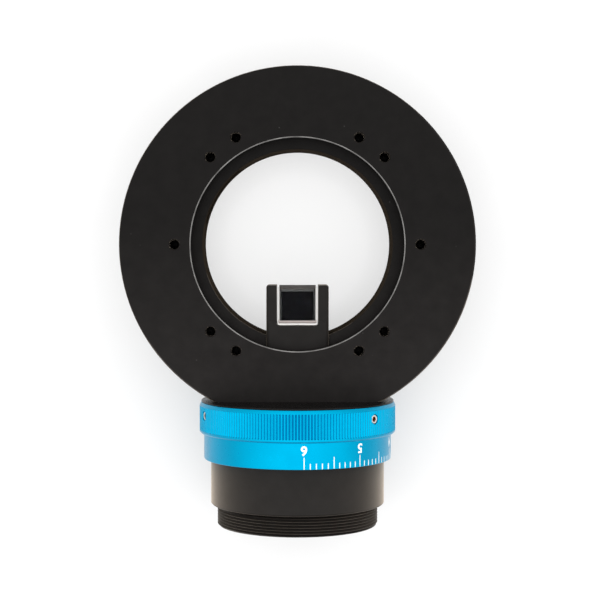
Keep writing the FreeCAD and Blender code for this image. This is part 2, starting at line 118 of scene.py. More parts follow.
# ---------------------------------------------------------------- surfaces

def grid_quads(rows: int, columns: int, close_rows: bool, close_columns: bool) -> Array:
    """Quads of a grid of rows by columns points, stored row after row.

    The quad at (i, j) joins points (i, j), (i, j+1), (i+1, j+1) and (i+1, j), with the last index going
    back to the first where that direction is closed.

    Args:
        rows: number of rows.
        columns: points in each row.
        close_rows: the last row joins the first.
        close_columns: the end of each row joins its start.

    Returns:
        Vertex numbers, four to a quad.
    """
    i, j = np.meshgrid(np.arange(rows - (not close_rows)), np.arange(columns - (not close_columns)),
                       indexing="ij")
    below, beside = (i + 1) % rows, (j + 1) % columns
    corners = [i * columns + j, i * columns + beside, below * columns + beside, below * columns + j]
    return np.stack(corners, axis=-1).reshape(-1, 4)


def softened(outline: list[tuple[float, float]], radius: float) -> Array:
    """Round every corner of a closed outline.

    Each corner P between neighbours A and B becomes the curve (1-t)^2 S + 2t(1-t) P + t^2 E for t from 0 to 1,
    where S and E lie on PA and PB at the rounding's distance, or 0.4 of the side where that is shorter.

    Args:
        outline: (radius, height) corners in order.
        radius: how far from the corner the rounding starts.

    Returns:
        The points of the rounded outline.
    """
    corner = np.array(outline, float)
    before = np.roll(corner, 1, axis=0) - corner
    after = np.roll(corner, -1, axis=0) - corner
    reach = [np.minimum(radius, 0.4 * np.linalg.norm(side, axis=1))[:, None] for side in (before, after)]
    start = corner + before / np.linalg.norm(before, axis=1)[:, None] * reach[0]
    end = corner + after / np.linalg.norm(after, axis=1)[:, None] * reach[1]
    t = np.linspace(0, 1, CORNER_STEPS + 1)[None, :, None]
    curve = (1 - t) ** 2 * start[:, None] + 2 * t * (1 - t) * corner[:, None] + t ** 2 * end[:, None]
    return curve.reshape(-1, 2)


def around_z(radius: Array | float, height: Array | float, turn: Array | float) -> Array:
    """Points (r sin u, r cos u, h) about Z.

    Args:
        radius: r of each point.
        height: h of each point.
        turn: u of each point, in radians; all three are spread over one grid.

    Returns:
        The grid's points.
    """
    radius, height, turn = np.broadcast_arrays(radius, height, turn)
    return np.stack([radius * np.sin(turn), radius * np.cos(turn), height], axis=-1)


def rod(outline: list[tuple[float, float]], count: int = 48) -> Surface:
    """A solid turned from an open (radius, height) outline whose ends lie on the axis, closed at both poles.

    Args:
        outline: points from one pole to the other.
        count: steps round the axis.

    Returns:
        Points and quads, the poles' quads with a side of no length.
    """
    turn = np.linspace(0, 2 * np.pi, count, endpoint=False)[None, :]
    shape = np.array(outline, float)
    points = around_z(shape[:, :1], shape[:, 1:], turn)
    return points.reshape(-1, 3), grid_quads(len(shape), count, False, True)


def on_focuser(points: Array) -> Array:
    """Lay points made about Z on the focuser's axis: (x, y, z) goes to (x, -z, y + axis height)."""
    return np.stack([points[:, 0], -points[:, 2], points[:, 1] + AXIS_HEIGHT], axis=1)


def standing_out(points: Array, angle: float, out: float) -> Array:
    """Stand points made about Z on a radius of the focuser.

    Z becomes the direction (sin a, cos a) across the focuser's axis, at the angle a clockwise from the side
    that faces the telescope, and the points move to the given place along that axis.

    Args:
        points: points about Z.
        angle: degrees.
        out: place along the focuser's axis.

    Returns:
        Points in the model's frame.
    """
    turn = math.radians(angle)
    x, y, z = points.T
    radial = np.stack([x * math.cos(turn) + z * math.sin(turn), -x * math.sin(turn) + z * math.cos(turn)],
                      axis=1)
    return on_focuser(np.column_stack([radial, out - y]))


def on_circle(radius: float, angle: float, height: float = 0.0) -> Array:
    """A place on a circle about the optical axis, its angle in degrees from +X."""
    turn = math.radians(angle)
    return np.array([radius * math.cos(turn), radius * math.sin(turn), height])


def bent_slabs(radius: float, angles: Array, starts: Array, ends: Array, width: float) -> Surface:
    """Thin painted slabs bent round the focuser, one at each angle.

    The corners of the slab at angle a are (r sin t, r cos t, h), with t half the width to either side of a,
    r a little below or above the surface, and h the slab's start or its end.

    Args:
        radius: the surface they are painted on.
        angles: degrees round the focuser.
        starts: out of their first ends.
        ends: out of their other ends.
        width: across them.

    Returns:
        Points and quads in place.
    """
    side = np.array([-0.5, 0.5, 0.5, -0.5]) * width / radius
    layer = radius + np.array([-MARK_SUNK, -MARK_SUNK, MARK_PROUD, MARK_PROUD])
    turn = np.radians(angles)[:, None, None] + side
    height = np.stack([starts, ends], axis=1)[:, :, None]
    quads = SLAB_FACES + 8 * np.arange(len(angles))[:, None, None]
    return on_focuser(around_z(layer, height, turn).reshape(-1, 3)), quads.reshape(-1, 4)


def smooth_path(points: Array, count: int) -> Array:
    """A Catmull-Rom curve through points, with count points spread evenly over its spans.

    Between P1 and P2, the curve is (2 P1 + (P2 - P0) t + (2 P0 - 5 P1 + 4 P2 - P3) t^2
    + (3 P1 - P0 - 3 P2 + P3) t^3) / 2.

    Args:
        points: the points it passes through.
        count: how many points to return.

    Returns:
        The curve's points.
    """
    ends = np.concatenate([2 * points[:1] - points[1:2], points, 2 * points[-1:] - points[-2:-1]])
    place = np.linspace(0, len(points) - 1, count)
    span_number = np.minimum(place.astype(int), len(points) - 2)
    t = (place - span_number)[:, None]
    p0, p1, p2, p3 = (ends[span_number + shift] for shift in range(4))
    cubic = (3 * p1 - p0 - 3 * p2 + p3) * t ** 3
    return (2 * p1 + (p2 - p0) * t + (2 * p0 - 5 * p1 + 4 * p2 - p3) * t ** 2 + cubic) / 2


# ---------------------------------------------------------------- mesh making

def clean(mesh: bpy.types.Mesh, flat: float = 0.0) -> None:
    """Merge doubles, drop faces of no area and turn the faces outwards.

    Args:
        mesh: the mesh to mend.
        flat: faces that turn less than this angle towards each other are joined, where it isn't zero.
    """
    work = bmesh.new()
    work.from_mesh(mesh)
    bmesh.ops.remove_doubles(work, verts=work.verts, dist=MERGE)
    bmesh.ops.dissolve_degenerate(work, edges=work.edges, dist=MERGE)
    if flat:
        bmesh.ops.dissolve_limit(work, angle_limit=flat, verts=work.verts, edges=work.edges)
    bmesh.ops.recalc_face_normals(work, faces=work.faces)
    work.to_mesh(mesh)
    work.free()


def raw_mesh(name: str, points: Array, quads: Array) -> bpy.types.Mesh:
    """Put points in millimetres and quads into a mesh, merge doubles and turn the faces outwards.

    Args:
        name: the mesh's name.
        points: three numbers a point.
        quads: four vertex numbers a face.

    Returns:
        The mesh, in metres.
    """
    mesh = bpy.data.meshes.new(name)
    mesh.vertices.add(len(points))
    mesh.vertices.foreach_set("co", (points * MM).astype(np.float32).ravel())
    mesh.loops.add(quads.size)
    mesh.loops.foreach_set("vertex_index", quads.astype(np.int32).ravel())
    mesh.polygons.add(len(quads))
    mesh.polygons.foreach_set("loop_start", np.arange(0, quads.size, 4, dtype=np.int32))
    mesh.update(calc_edges=True)
    clean(mesh)
    return mesh


def new_object(name: str, mesh: bpy.types.Mesh) -> bpy.types.Object:
    """Link a mesh to the scene as an object at the origin.

    Args:
        name: the object's name.
        mesh: its mesh.

    Returns:
        The object.
    """
    piece = bpy.data.objects.new(name, mesh)
    bpy.context.scene.collection.objects.link(piece)
    return piece


def merged_copy(node: str, name: str, flat: float = 0.0) -> bpy.types.Object:
    """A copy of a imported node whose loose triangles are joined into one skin.

    Args:
        node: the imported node.
        name: the new object's name.
        flat: faces that turn less than this angle towards each other are joined, where it isn't zero.

    Returns:
        The copy, at the origin.
    """
    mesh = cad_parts[node].data.copy()
    mesh.name = name
    clean(mesh, flat)
    return new_object(name, mesh)


def join_shells(shells: list[Surface]) -> Surface:
    """Several closed shells as one list of points and one of quads.

    Args:
        shells: points and quads of each shell.

    Returns:
        Points and quads of them all.
    """
    starts = np.cumsum([0] + [len(points) for points, _ in shells[:-1]])
    points = np.concatenate([points for points, _ in shells])
    quads = np.concatenate([quads + start for (_, quads), start in zip(shells, starts)])
    return points, quads


def carve(piece: bpy.types.Object, shells: list[Surface]) -> None:
    """Cut closed shells out of a piece and keep the result as its mesh.

    Args:
        piece: the object to change.
        shells: closed shells that don't meet each other.
    """
    cutters = raw_mesh("cutters", *join_shells(shells))
    tool = new_object("cutters", cutters)
    cut = piece.modifiers.new("Cut", "BOOLEAN")
    cut.object = tool
    cut.operation = "DIFFERENCE"
    cut.solver = "MANIFOLD"
    bpy.context.view_layer.update()
    shaped = bpy.data.meshes.new_from_object(piece.evaluated_get(bpy.context.evaluated_depsgraph_get()))
    piece.modifiers.clear()
    old = piece.data
    piece.data = shaped
    bpy.data.meshes.remove(old)
    bpy.data.objects.remove(tool)
    bpy.data.meshes.remove(cutters)


def shade(piece: bpy.types.Object) -> None:
    """Smooth shading with crisp edges, weighted so that flat faces stay flat up to their roundings.

    Args:
        piece: the object.
    """
    piece.data.shade_smooth()
    piece.data.set_sharp_from_angle(angle=SHARP)
    weighted = piece.modifiers.new("Weighted normals", "WEIGHTED_NORMAL")
    weighted.keep_sharp = True


def dress(piece: bpy.types.Object, *materials: bpy.types.Material) -> None:
    """Give a piece its materials.

    Args:
        piece: the object.
        materials: in the order of its material indices.
    """
    piece.data.materials.clear()
    for material in materials:
        piece.data.materials.append(material)


def face_values(piece: bpy.types.Object, name: str) -> Array:
    """A vector of each face of a piece.

    Args:
        piece: the object.
        name: "center" or "normal".

    Returns:
        One row of three numbers a face.
    """
    values = np.zeros(len(piece.data.polygons) * 3)
    piece.data.polygons.foreach_get(name, values)
    return values.reshape(-1, 3)


def bore_faces(piece: bpy.types.Object, radius: float) -> Array:
    """Which faces lie on a bore about the optical axis: those within its radius that face the axis.

    Args:
        piece: the object.
        radius: millimetres, a little more than the bore's.

    Returns:
        True for each such face.
    """
    across = face_values(piece, "center")[:, :2] / MM
    distance = np.maximum(np.hypot(across[:, 0], across[:, 1]), 1e-6)
    inwards = -(across * face_values(piece, "normal")[:, :2]).sum(axis=1) / distance
    return (distance < radius) & (inwards > FACING)


def paint_faces(piece: bpy.types.Object, mask: Array, index: int = 1) -> None:
    """Give some faces another of the piece's materials.

    Args:
        piece: the object.
        mask: True for each such face.
        index: the material's index.
    """
    slots = np.zeros(len(mask), np.int32)
    piece.data.polygons.foreach_get("material_index", slots)
    slots[mask] = index
    piece.data.polygons.foreach_set("material_index", slots)


def settle(piece: bpy.types.Object, body: str, slot: str, *nodes: str) -> bpy.types.Object:
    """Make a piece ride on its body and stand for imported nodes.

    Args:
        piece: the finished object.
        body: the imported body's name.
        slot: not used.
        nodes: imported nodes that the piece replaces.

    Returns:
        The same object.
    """
    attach(piece, body)
    if nodes:
        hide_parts(*nodes)
    return piece


def dress_nodes(material: bpy.types.Material, nodes: list[str]) -> None:
    """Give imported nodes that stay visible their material.

    Args:
        material: the finish.
        nodes: their names.
    """
    for node in nodes:
        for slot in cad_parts[node].material_slots:
            slot.material = material


# ---------------------------------------------------------------- node helper

class Shader:
    """A new material with a Principled shader, and short calls for the nodes that feed it."""

    def __init__(self, name: str) -> None:
        """Start a material with its output and shader.

        Args:
            name: the material's name.
        """
        self.material = bpy.data.materials.new(name)
        self.material.use_nodes = True
        self.tree = self.material.node_tree
        self.tree.nodes.clear()
        self.surface = self.node("ShaderNodeBsdfPrincipled")
        self.output = self.node("ShaderNodeOutputMaterial")
        self.join(self.surface.outputs["BSDF"], self.output.inputs["Surface"])
        self.place = self.node("ShaderNodeTexCoord").outputs["Object"]

    def node(self, kind: str, **settings: object) -> bpy.types.Node:
        """Add a node.

        Args:
            kind: its type.
            settings: its properties.

        Returns:
            The node.
        """
        made = self.tree.nodes.new(kind)
        for key, value in settings.items():
            setattr(made, key, value)
        return made

    def join(self, source: Socket, target: Socket) -> None:
        """Link an output to an input."""
        self.tree.links.new(source, target)

    def fill(self, node: bpy.types.Node, inputs: dict[int | str, object]) -> None:
        """Set a node's inputs.

        Args:
            node: the node.
            inputs: by name or number, a socket to link or a value.
        """
        for key, value in inputs.items():
            if isinstance(value, Socket):
                self.join(value, node.inputs[key])
            else:
                node.inputs[key].default_value = value

    def set(self, **values: object) -> None:
        """Set the Principled shader's sockets, with underscores for spaces."""
        self.fill(self.surface, {key.replace("_", " "): value for key, value in values.items()})

    def math(self, operation: str, *values: object) -> Socket:
        """Add a Math node.

        Args:
            operation: what it does.
            values: sockets or numbers.

        Returns:
            Its result.
        """
        made = self.node("ShaderNodeMath", operation=operation)
        self.fill(made, dict(enumerate(values)))
        return made.outputs[0]

    def noise(self, scale: float, detail: float = 2.0, place: Socket | None = None,
              rough: float = 0.5) -> Socket:
        """Add a noise texture.

        Args:
            scale: features per metre.
            detail: octaves.
            place: where to read it, if not at the object's own place.
            rough: weight of the finer octaves.

        Returns:
            A value between 0 and 1.
        """
        made = self.node("ShaderNodeTexNoise")
        self.fill(made, {"Vector": place or self.place, "Scale": scale, "Detail": detail, "Roughness": rough})
        return made.outputs["Fac"]

    def ramp(self, value: Socket, low: float, high: float, to_low: float = 0.0,
             to_high: float = 1.0) -> Socket:
        """Map a value from one range to another, and hold it at the ends.

        Args:
            value: what to map.
            low: start of its range.
            high: end of its range.
            to_low: result at the start.
            to_high: result at the end.

        Returns:
            The result.
        """
        made = self.node("ShaderNodeMapRange")
        self.fill(made, {"Value": value, "From Min": low, "From Max": high,
                         "To Min": to_low, "To Max": to_high})
        return made.outputs["Result"]

    def blend(self, share: Socket, first: Socket | Colour, second: Socket | Colour) -> Socket:
        """Mix two colours.

        Args:
            share: part of the second.
            first: the colour at 0.
            second: the colour at 1.

        Returns:
            The mixed colour.
        """
        made = self.node("ShaderNodeMix", data_type="RGBA")
        colours = [value if isinstance(value, Socket) else (*value, 1.0) for value in (first, second)]
        self.fill(made, {0: share, 6: colours[0], 7: colours[1]})
        return made.outputs[2]

    def scaled(self, colour: Socket, gain: Socket) -> Socket:
        """Multiply a colour.

        Args:
            colour: the colour.
            gain: the number it is multiplied by.

        Returns:
            The product.
        """
        made = self.node("ShaderNodeVectorMath", operation="SCALE")
        self.fill(made, {0: colour, "Scale": gain})
        return made.outputs[0]

    def bump(self, height: Socket, depth: float, under: Socket | None = None) -> Socket:
        """Add a bump.

        Args:
            height: its pattern, from 0 to 1.
            depth: millimetres between 0 and 1.
            under: another bump that it lies on.

        Returns:
            The normal.
        """
        made = self.node("ShaderNodeBump")
        self.fill(made, {"Height": height, "Distance": depth * MM, "Strength": 1.0})
        if under:
            self.join(under, made.inputs["Normal"])
        return made.outputs["Normal"]

    def parts(self, place: Socket) -> bpy.types.bpy_prop_collection:
        """Take a place apart.

        Args:
            place: a vector.

        Returns:
            Its coordinates, by letter.
        """
        apart = self.node("ShaderNodeSeparateXYZ")
        self.join(place, apart.inputs[0])
        return apart.outputs

    def lathe_place(self, axis: Axis) -> Socket:
        """A place that is the same all round an axis.

        Args:
            axis: what the piece was turned about.

        Returns:
            The vector (distance from the axis, height along it, 0), in metres.
        """
        height = AXIS_HEIGHT * MM if axis is Axis.FOCUSER else 0.0
        shifted = self.node("ShaderNodeMapping")
        self.fill(shifted, {"Vector": self.place, "Location": (0.0, 0.0, -height)})
        apart = self.parts(shifted.outputs["Vector"])
        along, across = ("Y", "Z") if axis is Axis.FOCUSER else ("Z", "Y")
        squares = self.math("ADD", self.math("POWER", apart["X"], 2.0), self.math("POWER", apart[across], 2.0))
        together = self.node("ShaderNodeCombineXYZ")
        self.fill(together, {"X": self.math("SQRT", squares), "Y": apart[along]})
        return together.outputs[0]

    def specks(self, cell: float, share: float, size: float) -> Socket:
        """Small round specks in some cells of a Voronoi pattern: 1 inside a speck, 0 outside.

        Args:
            cell: cells per metre.
            share: part of the cells that have one.
            size: radius of a speck, as a share of the cell.

        Returns:
            The mask.
        """
        cells = self.node("ShaderNodeTexVoronoi")
        self.fill(cells, {"Vector": self.place, "Scale": cell})
        inside = self.ramp(cells.outputs["Distance"], size, 0.6 * size)
        pick = self.node("ShaderNodeSeparateColor")
        self.join(cells.outputs["Color"], pick.inputs[0])
        chosen = self.math("LESS_THAN", pick.outputs[0], share)
        return self.math("MULTIPLY", inside, chosen)


# ---------------------------------------------------------------- finishes

@dataclass(frozen=True)
class BlackAnodised:
    """Matte black anodised aluminium: fine blasted grain, faint mottling, turning marks and a few specks; it can also
    paint a highlight on one turned edge and paint light paler towards the focuser.
    """

    name: str = "black_anodised_matte"
    axis: Axis = Axis.OPTICAL
    dark: Colour = (0.0034, 0.0030, 0.0029)
    pale: Colour = (0.0056, 0.0050, 0.0048)
    fleck: Colour = (0.035, 0.033, 0.032)
    roughness: float = 0.46
    shine: float = 0.06
    bloom: float = 0.2
    bloom_roughness: float = 0.4
    bloom_tint: Colour = (1.0, 0.84, 0.68)
    marks: float = 0.0006
    mottling: float = 260.0
    grain: float = 9000.0
    grain_depth: float = 0.0035
    turning: float = 2600.0
    smears: float = 700.0
    flecks: tuple[float, float, float] = (420.0, 0.10, 0.075)
    # Painted highlight: a bright line on a turned edge between these two radii, partly like worn bare metal.
    edge: tuple[float, float] | None = None
    edge_colour: Colour = (0.22, 0.214, 0.208)
    edge_depth: float = 0.5
    edge_wear: float = 300.0
    # Painted light: between these two places out, the colour grows paler up to the gain below.
    handled: tuple[float, float] | None = None
    handled_gain: float = 1.0

    def material(self) -> bpy.types.Material:
        """Build the material.

        Returns:
            The finished material.
        """
        shader = Shader(self.name)
        mottling = shader.ramp(shader.noise(self.mottling, 5, rough=0.6), 0.32, 0.68)
        grain = shader.noise(self.grain, 2)
        share = shader.math("ADD", shader.math("MULTIPLY", mottling, 0.7), shader.math("MULTIPLY", grain, 0.3))
        colour = shader.blend(share, self.dark, self.pale)
        # Painted light: the colour grows paler towards the focuser.
        if self.handled:
            colour = self.paler(shader, colour)
        colour = shader.blend(shader.specks(*self.flecks), colour, self.fleck)
        around = shader.lathe_place(self.axis)
        # Painted highlight on the turned edge.
        if self.edge:
            colour = shader.blend(self.bare_edge(shader, around), colour, self.edge_colour)
        turning = shader.noise(self.turning, 3, around, 0.7)
        normal = shader.bump(grain, self.grain_depth)
        normal = shader.bump(turning, self.marks, normal)
        smears = shader.noise(self.smears, 3)
        rough = shader.ramp(smears, 0.25, 0.75, self.roughness - 0.05, self.roughness + 0.06)
        shader.set(Base_Color=colour, Roughness=rough, Normal=normal, Specular_IOR_Level=self.shine, IOR=1.5)
        shader.set(Sheen_Weight=self.bloom, Sheen_Roughness=self.bloom_roughness,
                   Sheen_Tint=(*self.bloom_tint, 1.0))
        return shader.material

    def paler(self, shader: Shader, colour: Socket) -> Socket:
        """Paint light into the colour: paler towards the focuser, standing in for the brighter light the face gets
        there.

        Args:
            shader: the material's shader.
            colour: the colour so far.

        Returns:
            The colour times a gain, which grows from 1 at the first place out to its full value at the second.
        """
        first, last = (-out * MM for out in self.handled)
        along = shader.parts(shader.place)["Y"]
        return shader.scaled(colour, shader.ramp(along, first, last, 1.0, self.handled_gain))

    def bare_edge(self, shader: Shader, around: Socket) -> Socket:
        """Where a highlight is painted on a turned edge, in patches like metal worn through the dye: 1 between the two
        radii of the edge and near the face, else 0.

        Args:
            shader: the material's shader.
            around: the place round the axis, as lathe_place gives it.

        Returns:
            The mask.
        """
        apart = shader.parts(around)
        inner, outer = (radius * MM for radius in self.edge)
        beyond = shader.math("GREATER_THAN", apart["X"], inner)
        within = shader.math("LESS_THAN", apart["X"], outer)
        near = shader.math("GREATER_THAN", apart["Y"], -self.edge_depth * MM)
        highlight_patches = shader.ramp(shader.noise(self.edge_wear, 3), 0.25, 0.65, 0.35, 1.0)
        where = shader.math("MULTIPLY", near, shader.math("MULTIPLY", beyond, within))
        return shader.math("MULTIPLY", highlight_patches, where)


@dataclass(frozen=True)
class MatteBore:
    """The dull brownish black of the light path's wall, finely grooved so that it throws no glare."""

    name: str = "matte_black_bore"
    dark: Colour = (0.028, 0.022, 0.016)
    pale: Colour = (0.035, 0.027, 0.020)
    roughness: float = 0.8
    grooves: float = 0.35
    groove_depth: float = 0.03
    mottling: float = 220.0

    def material(self) -> bpy.types.Material:
        """Build the material.

        Returns:
            The finished material.
        """
        shader = Shader(self.name)
        cloud = shader.ramp(shader.noise(self.mottling, 4), 0.35, 0.7)
        height = shader.parts(shader.place)["Z"]
        wave = shader.math("SINE", shader.math("MULTIPLY", height, 2 * math.pi / (self.grooves * MM)))
        shader.set(Base_Color=shader.blend(cloud, self.dark, self.pale), Roughness=self.roughness,
                   Normal=shader.bump(wave, self.groove_depth), Specular_IOR_Level=0.0)
        return shader.material


@dataclass(frozen=True)
class BlueAnodised:
    """Bright blue dyed oxide on turned aluminium, with fine rings from the lathe."""

    name: str = "blue_anodised_satin"
    deep: Colour = (0.0, 0.262, 0.452)
    light: Colour = (0.0, 0.312, 0.512)
    roughness: float = 0.3
    marks: float = 0.0009
    cloud: float = 160.0
    rings: float = 5200.0
    grain: float = 8000.0
    grain_depth: float = 0.0012
    smears: float = 900.0

    def material(self) -> bpy.types.Material:
        """Build the material.

        Returns:
            The finished material.
        """
        shader = Shader(self.name)
        cloud = shader.ramp(shader.noise(self.cloud, 3), 0.3, 0.7)
        rings = shader.noise(self.rings, 3, shader.lathe_place(Axis.FOCUSER), 0.75)
        share = shader.math("ADD", shader.math("MULTIPLY", cloud, 0.45), shader.math("MULTIPLY", rings, 0.5))
        colour = shader.blend(share, self.deep, self.light)
        normal = shader.bump(rings, self.marks, shader.bump(shader.noise(self.grain, 2), self.grain_depth))
        smears = shader.noise(self.smears, 3)
        rough = shader.ramp(smears, 0.3, 0.7, self.roughness - 0.04, self.roughness + 0.05)
        shader.set(Base_Color=colour, Roughness=rough, Normal=normal, Metallic=1.0)
        return shader.material


@dataclass(frozen=True)
class Steel:
    """Stainless steel of the screws, with fine grinding grain and brown in the sockets where that is wanted."""

    name: str = "stainless_steel"
    bright: Colour = (0.66, 0.64, 0.61)
    dull: Colour = (0.54, 0.52, 0.49)
    rust: Colour = (0.34, 0.14, 0.05)
    roughness: float = 0.27
    cloud: float = 1500.0
    grain: float = 14000.0
    grain_depth: float = 0.001
    smears: float = 5000.0
    socket_below: float = 0.0

    def material(self) -> bpy.types.Material:
        """Build the material.

        Returns:
            The finished material.
        """
        shader = Shader(self.name)
        cloud = shader.noise(self.cloud, 4)
        colour = shader.blend(shader.ramp(cloud, 0.35, 0.7), self.bright, self.dull)
        if self.socket_below:
            distance = shader.parts(shader.lathe_place(Axis.FOCUSER))["X"]
            below = shader.math("LESS_THAN", distance, self.socket_below * MM)
            colour = shader.blend(below, colour, self.rust)
        rough = shader.ramp(shader.noise(self.smears, 3), 0.3, 0.7, self.roughness - 0.06, self.roughness + 0.1)
        normal = shader.bump(shader.noise(self.grain, 2), self.grain_depth)
        shader.set(Base_Color=colour, Roughness=rough, Metallic=1.0, Normal=normal)
        return shader.material


@dataclass(frozen=True)
class Plain:
    """A painted, moulded or cured surface with a fine texture."""

    name: str
    light: Colour
    dark: Colour
    roughness: float
    scale: float = 3000.0
    depth: float = 0.002

    def material(self) -> bpy.types.Material:
        """Build the material.

        Returns:
            The finished material.
        """
        shader = Shader(self.name)
        texture = shader.noise(self.scale, 3)
        rough = shader.ramp(texture, 0.3, 0.7, self.roughness - 0.05, self.roughness + 0.08)
        shader.set(Base_Color=shader.blend(texture, self.dark, self.light), Roughness=rough,
                   Normal=shader.bump(texture, self.depth))
        return shader.material


@dataclass(frozen=True)
class GroundGlass:
    """Ground glass, of one colour at the prism's exit and another elsewhere."""

    name: str = "ground_bevels"
    near_exit: Colour = (0.48, 0.42, 0.40)
    elsewhere: Colour = (0.72, 0.71, 0.69)
    exit_out: float = 19.5
    exit_fade: float = 0.1
    roughness: float = 0.75
    grain: float = 12000.0
    grain_depth: float = 0.004

    def material(self) -> bpy.types.Material:
        """Build the material.

        Returns:
            The finished material.
        """
        shader = Shader(self.name)
        texture = shader.noise(self.grain, 3)
        along = shader.parts(shader.place)["Y"]
        near = shader.ramp(along, (self.exit_fade - self.exit_out) * MM, (-self.exit_fade - self.exit_out) * MM)
        tone = shader.blend(near, self.elsewhere, self.near_exit)
        colour = shader.scaled(tone, shader.ramp(texture, 0.3, 0.7, 0.86, 1.0))
        rough = shader.ramp(texture, 0.3, 0.7, self.roughness - 0.05, self.roughness + 0.08)
        shader.set(Base_Color=colour, Roughness=rough, Normal=shader.bump(texture, self.grain_depth))
        return shader.material


@dataclass(frozen=True)
class PrismGlass:
    """Polished crown glass, slightly dusty."""

    name: str = "polished_glass"
    tint: Colour = (0.62, 0.64, 0.63)
    haze: Colour = (0.30, 0.30, 0.29)
    glint: Colour = (0.06, 0.06, 0.07)
    dust: tuple[float, float, float] = (2600.0, 0.12, 0.10)
    dust_cover: float = 0.8
    index: float = 1.517

    def material(self) -> bpy.types.Material:
        """Build the material.

        Returns:
            The finished material.
        """
        shader = Shader(self.name)
        dust = shader.math("MULTIPLY", shader.specks(*self.dust), self.dust_cover)
        colour = shader.blend(dust, self.tint, self.haze)
        rough = shader.ramp(shader.noise(1200, 3), 0.4, 0.7, 0.0, 0.03)
        shader.set(Base_Color=colour, Roughness=rough, Transmission_Weight=1.0, IOR=self.index,
                   Specular_Tint=(*self.glint, 1.0))
        return shader.material


# ---------------------------------------------------------------- threads

@dataclass(frozen=True)
class MaleThread:
    """A right-hand metric thread with its relief, as the skin from its shoulder to its end."""

    radius: float
    start: float
    end: float
    pitch: float = 0.75
    relief: float = 0.55
    lead_in: float = 0.45
    count: int = 288
    relief_depth: float = 0.1
    relief_slope: float = 0.35

    @property
    def depth(self) -> float:
        """Depth of the thread below its crest."""
        return THREAD_DEPTH * self.pitch

    @property
    def root(self) -> float:
        """Radius of the relief behind the thread."""
        return self.radius - self.depth - self.relief_depth

    def surface(self) -> Surface:
        """The helical skin.

        A point at turn u and row a lies at height h = start + clip(a + pitch * u / 2 pi) and at radius
        R - depth * groove(phase), where the phase a / pitch is the same all along a row, so that crest and root
        edges are rows of the grid. The radius is held below the relief's radius near the shoulder, and below
        a 45 degree lead-in cone near the end.

        Returns:
            Points as rows by columns by 3, and quads.
        """
        # Across one pitch: half the crest's flat of P/8, the flank, the root's flat of P/4, the flank, the other half.
        phase = np.array([0.0, 0.0625, 0.375, 0.625, 0.9375])
        crest = np.array([0.0, 0.0, 1.0, 1.0, 0.0])
        length = self.end - self.start
        turns = math.ceil(length / self.pitch) + 2
        rows = (np.arange(turns)[:, None] + phase[None, :] - 1).ravel() * self.pitch
        groove = np.tile(crest, turns)
        turn = np.linspace(0, 2 * np.pi, self.count + 1)[None, :]
        height = rows[:, None] + self.pitch * turn / (2 * np.pi)
        clipped = np.clip(height, 0, length)
        shift = ((clipped - self.pitch * turn / (2 * np.pi)) / self.pitch) % 1.0
        fall = np.interp(shift, np.append(phase, 1.0), np.append(crest, 0.0))
        exact = np.where(clipped == height, groove[:, None], fall)
        radius = self.radius - self.depth * exact
        relief = np.interp(clipped, [0, self.relief, self.relief + self.relief_slope],
                           [0, 0, self.depth + self.relief_depth])
        radius = np.minimum(radius, self.root + relief)
        cone = self.radius - self.depth + (length - clipped) * (self.depth / self.lead_in)
        radius = np.minimum(radius, cone)
        points = around_z(radius, self.start + clipped, turn)
        return points, grid_quads(len(rows), self.count + 1, False, False)

    def closed_with(self, profile: list[tuple[float, float]]) -> Surface:
        """Close the thread's skin into a solid.

        Args:
            profile: open outline, from the thread's end round the rest of the piece to the thread's start.

        Returns:
            Points and quads whose seams meet and merge.
        """
        skin, quads = self.surface()
        turn = np.linspace(0, 2 * np.pi, self.count + 1)[None, :]
        shape = np.array(profile, float)
        rest = around_z(shape[:, :1], shape[:, 1:], turn)
        rest = np.concatenate([skin[-1:], rest, skin[:1]])
        shells = [(skin.reshape(-1, 3), quads),
                  (rest.reshape(-1, 3), grid_quads(len(rest), self.count + 1, False, False))]
        return join_shells(shells)


@dataclass(frozen=True)
class Helicoid:
    """The right-hand four-start screw between the ring and the drawtube."""

    lead: float = 10.0
    starts: int = 4
    width: float = 1.4
    rear: float = 0.8
    per_turn: int = 120

    @property
    def pitch(self) -> float:
        """Distance along the axis from one start to the next."""
        return self.lead / self.starts

    def bars(self, inner: float, outer: float, start: float, end: float, shift: float) -> Surface:
        """Bars that wind about the focuser's axis and fill the grooves or the spaces between the ribs.

        A corner of the section (radius r, height k from the bar's middle) goes to (r cos a, r sin a, h + k),
        where the angle a is 2 pi (h - origin) / lead, plus a quarter turn for each next start.

        Args:
            inner: radius of the bars' inner side.
            outer: radius of their outer side.
            start: out of their rear end.
            end: out of their front end.
            shift: how far along the axis they lie from the grooves.

        Returns:
            Points and quads in place.
        """
        origin = out_span("drawtube")[0] - self.rear + shift
        height = np.linspace(start, end, int((end - start) / self.lead * self.per_turn) + 2)
        radius = np.array([inner, outer, outer, inner])
        level = np.array([-0.5, -0.5, 0.5, 0.5]) * self.width
        shells = []
        for number in range(self.starts):
            angle = 2 * np.pi * ((height - origin) / self.lead + number / self.starts)
            section = np.stack([radius * np.cos(angle)[:, None], radius * np.sin(angle)[:, None],
                                height[:, None] + level], axis=-1)
            middle = section.mean(axis=1, keepdims=True)[[0, -1]].repeat(4, axis=1)
            section = np.concatenate([middle[:1], section, middle[1:]])
            shells.append((on_focuser(section.reshape(-1, 3)), grid_quads(len(section), 4, False, True)))
        return join_shells(shells)


HELICOID = Helicoid()


# ---------------------------------------------------------------- sub-assemblies

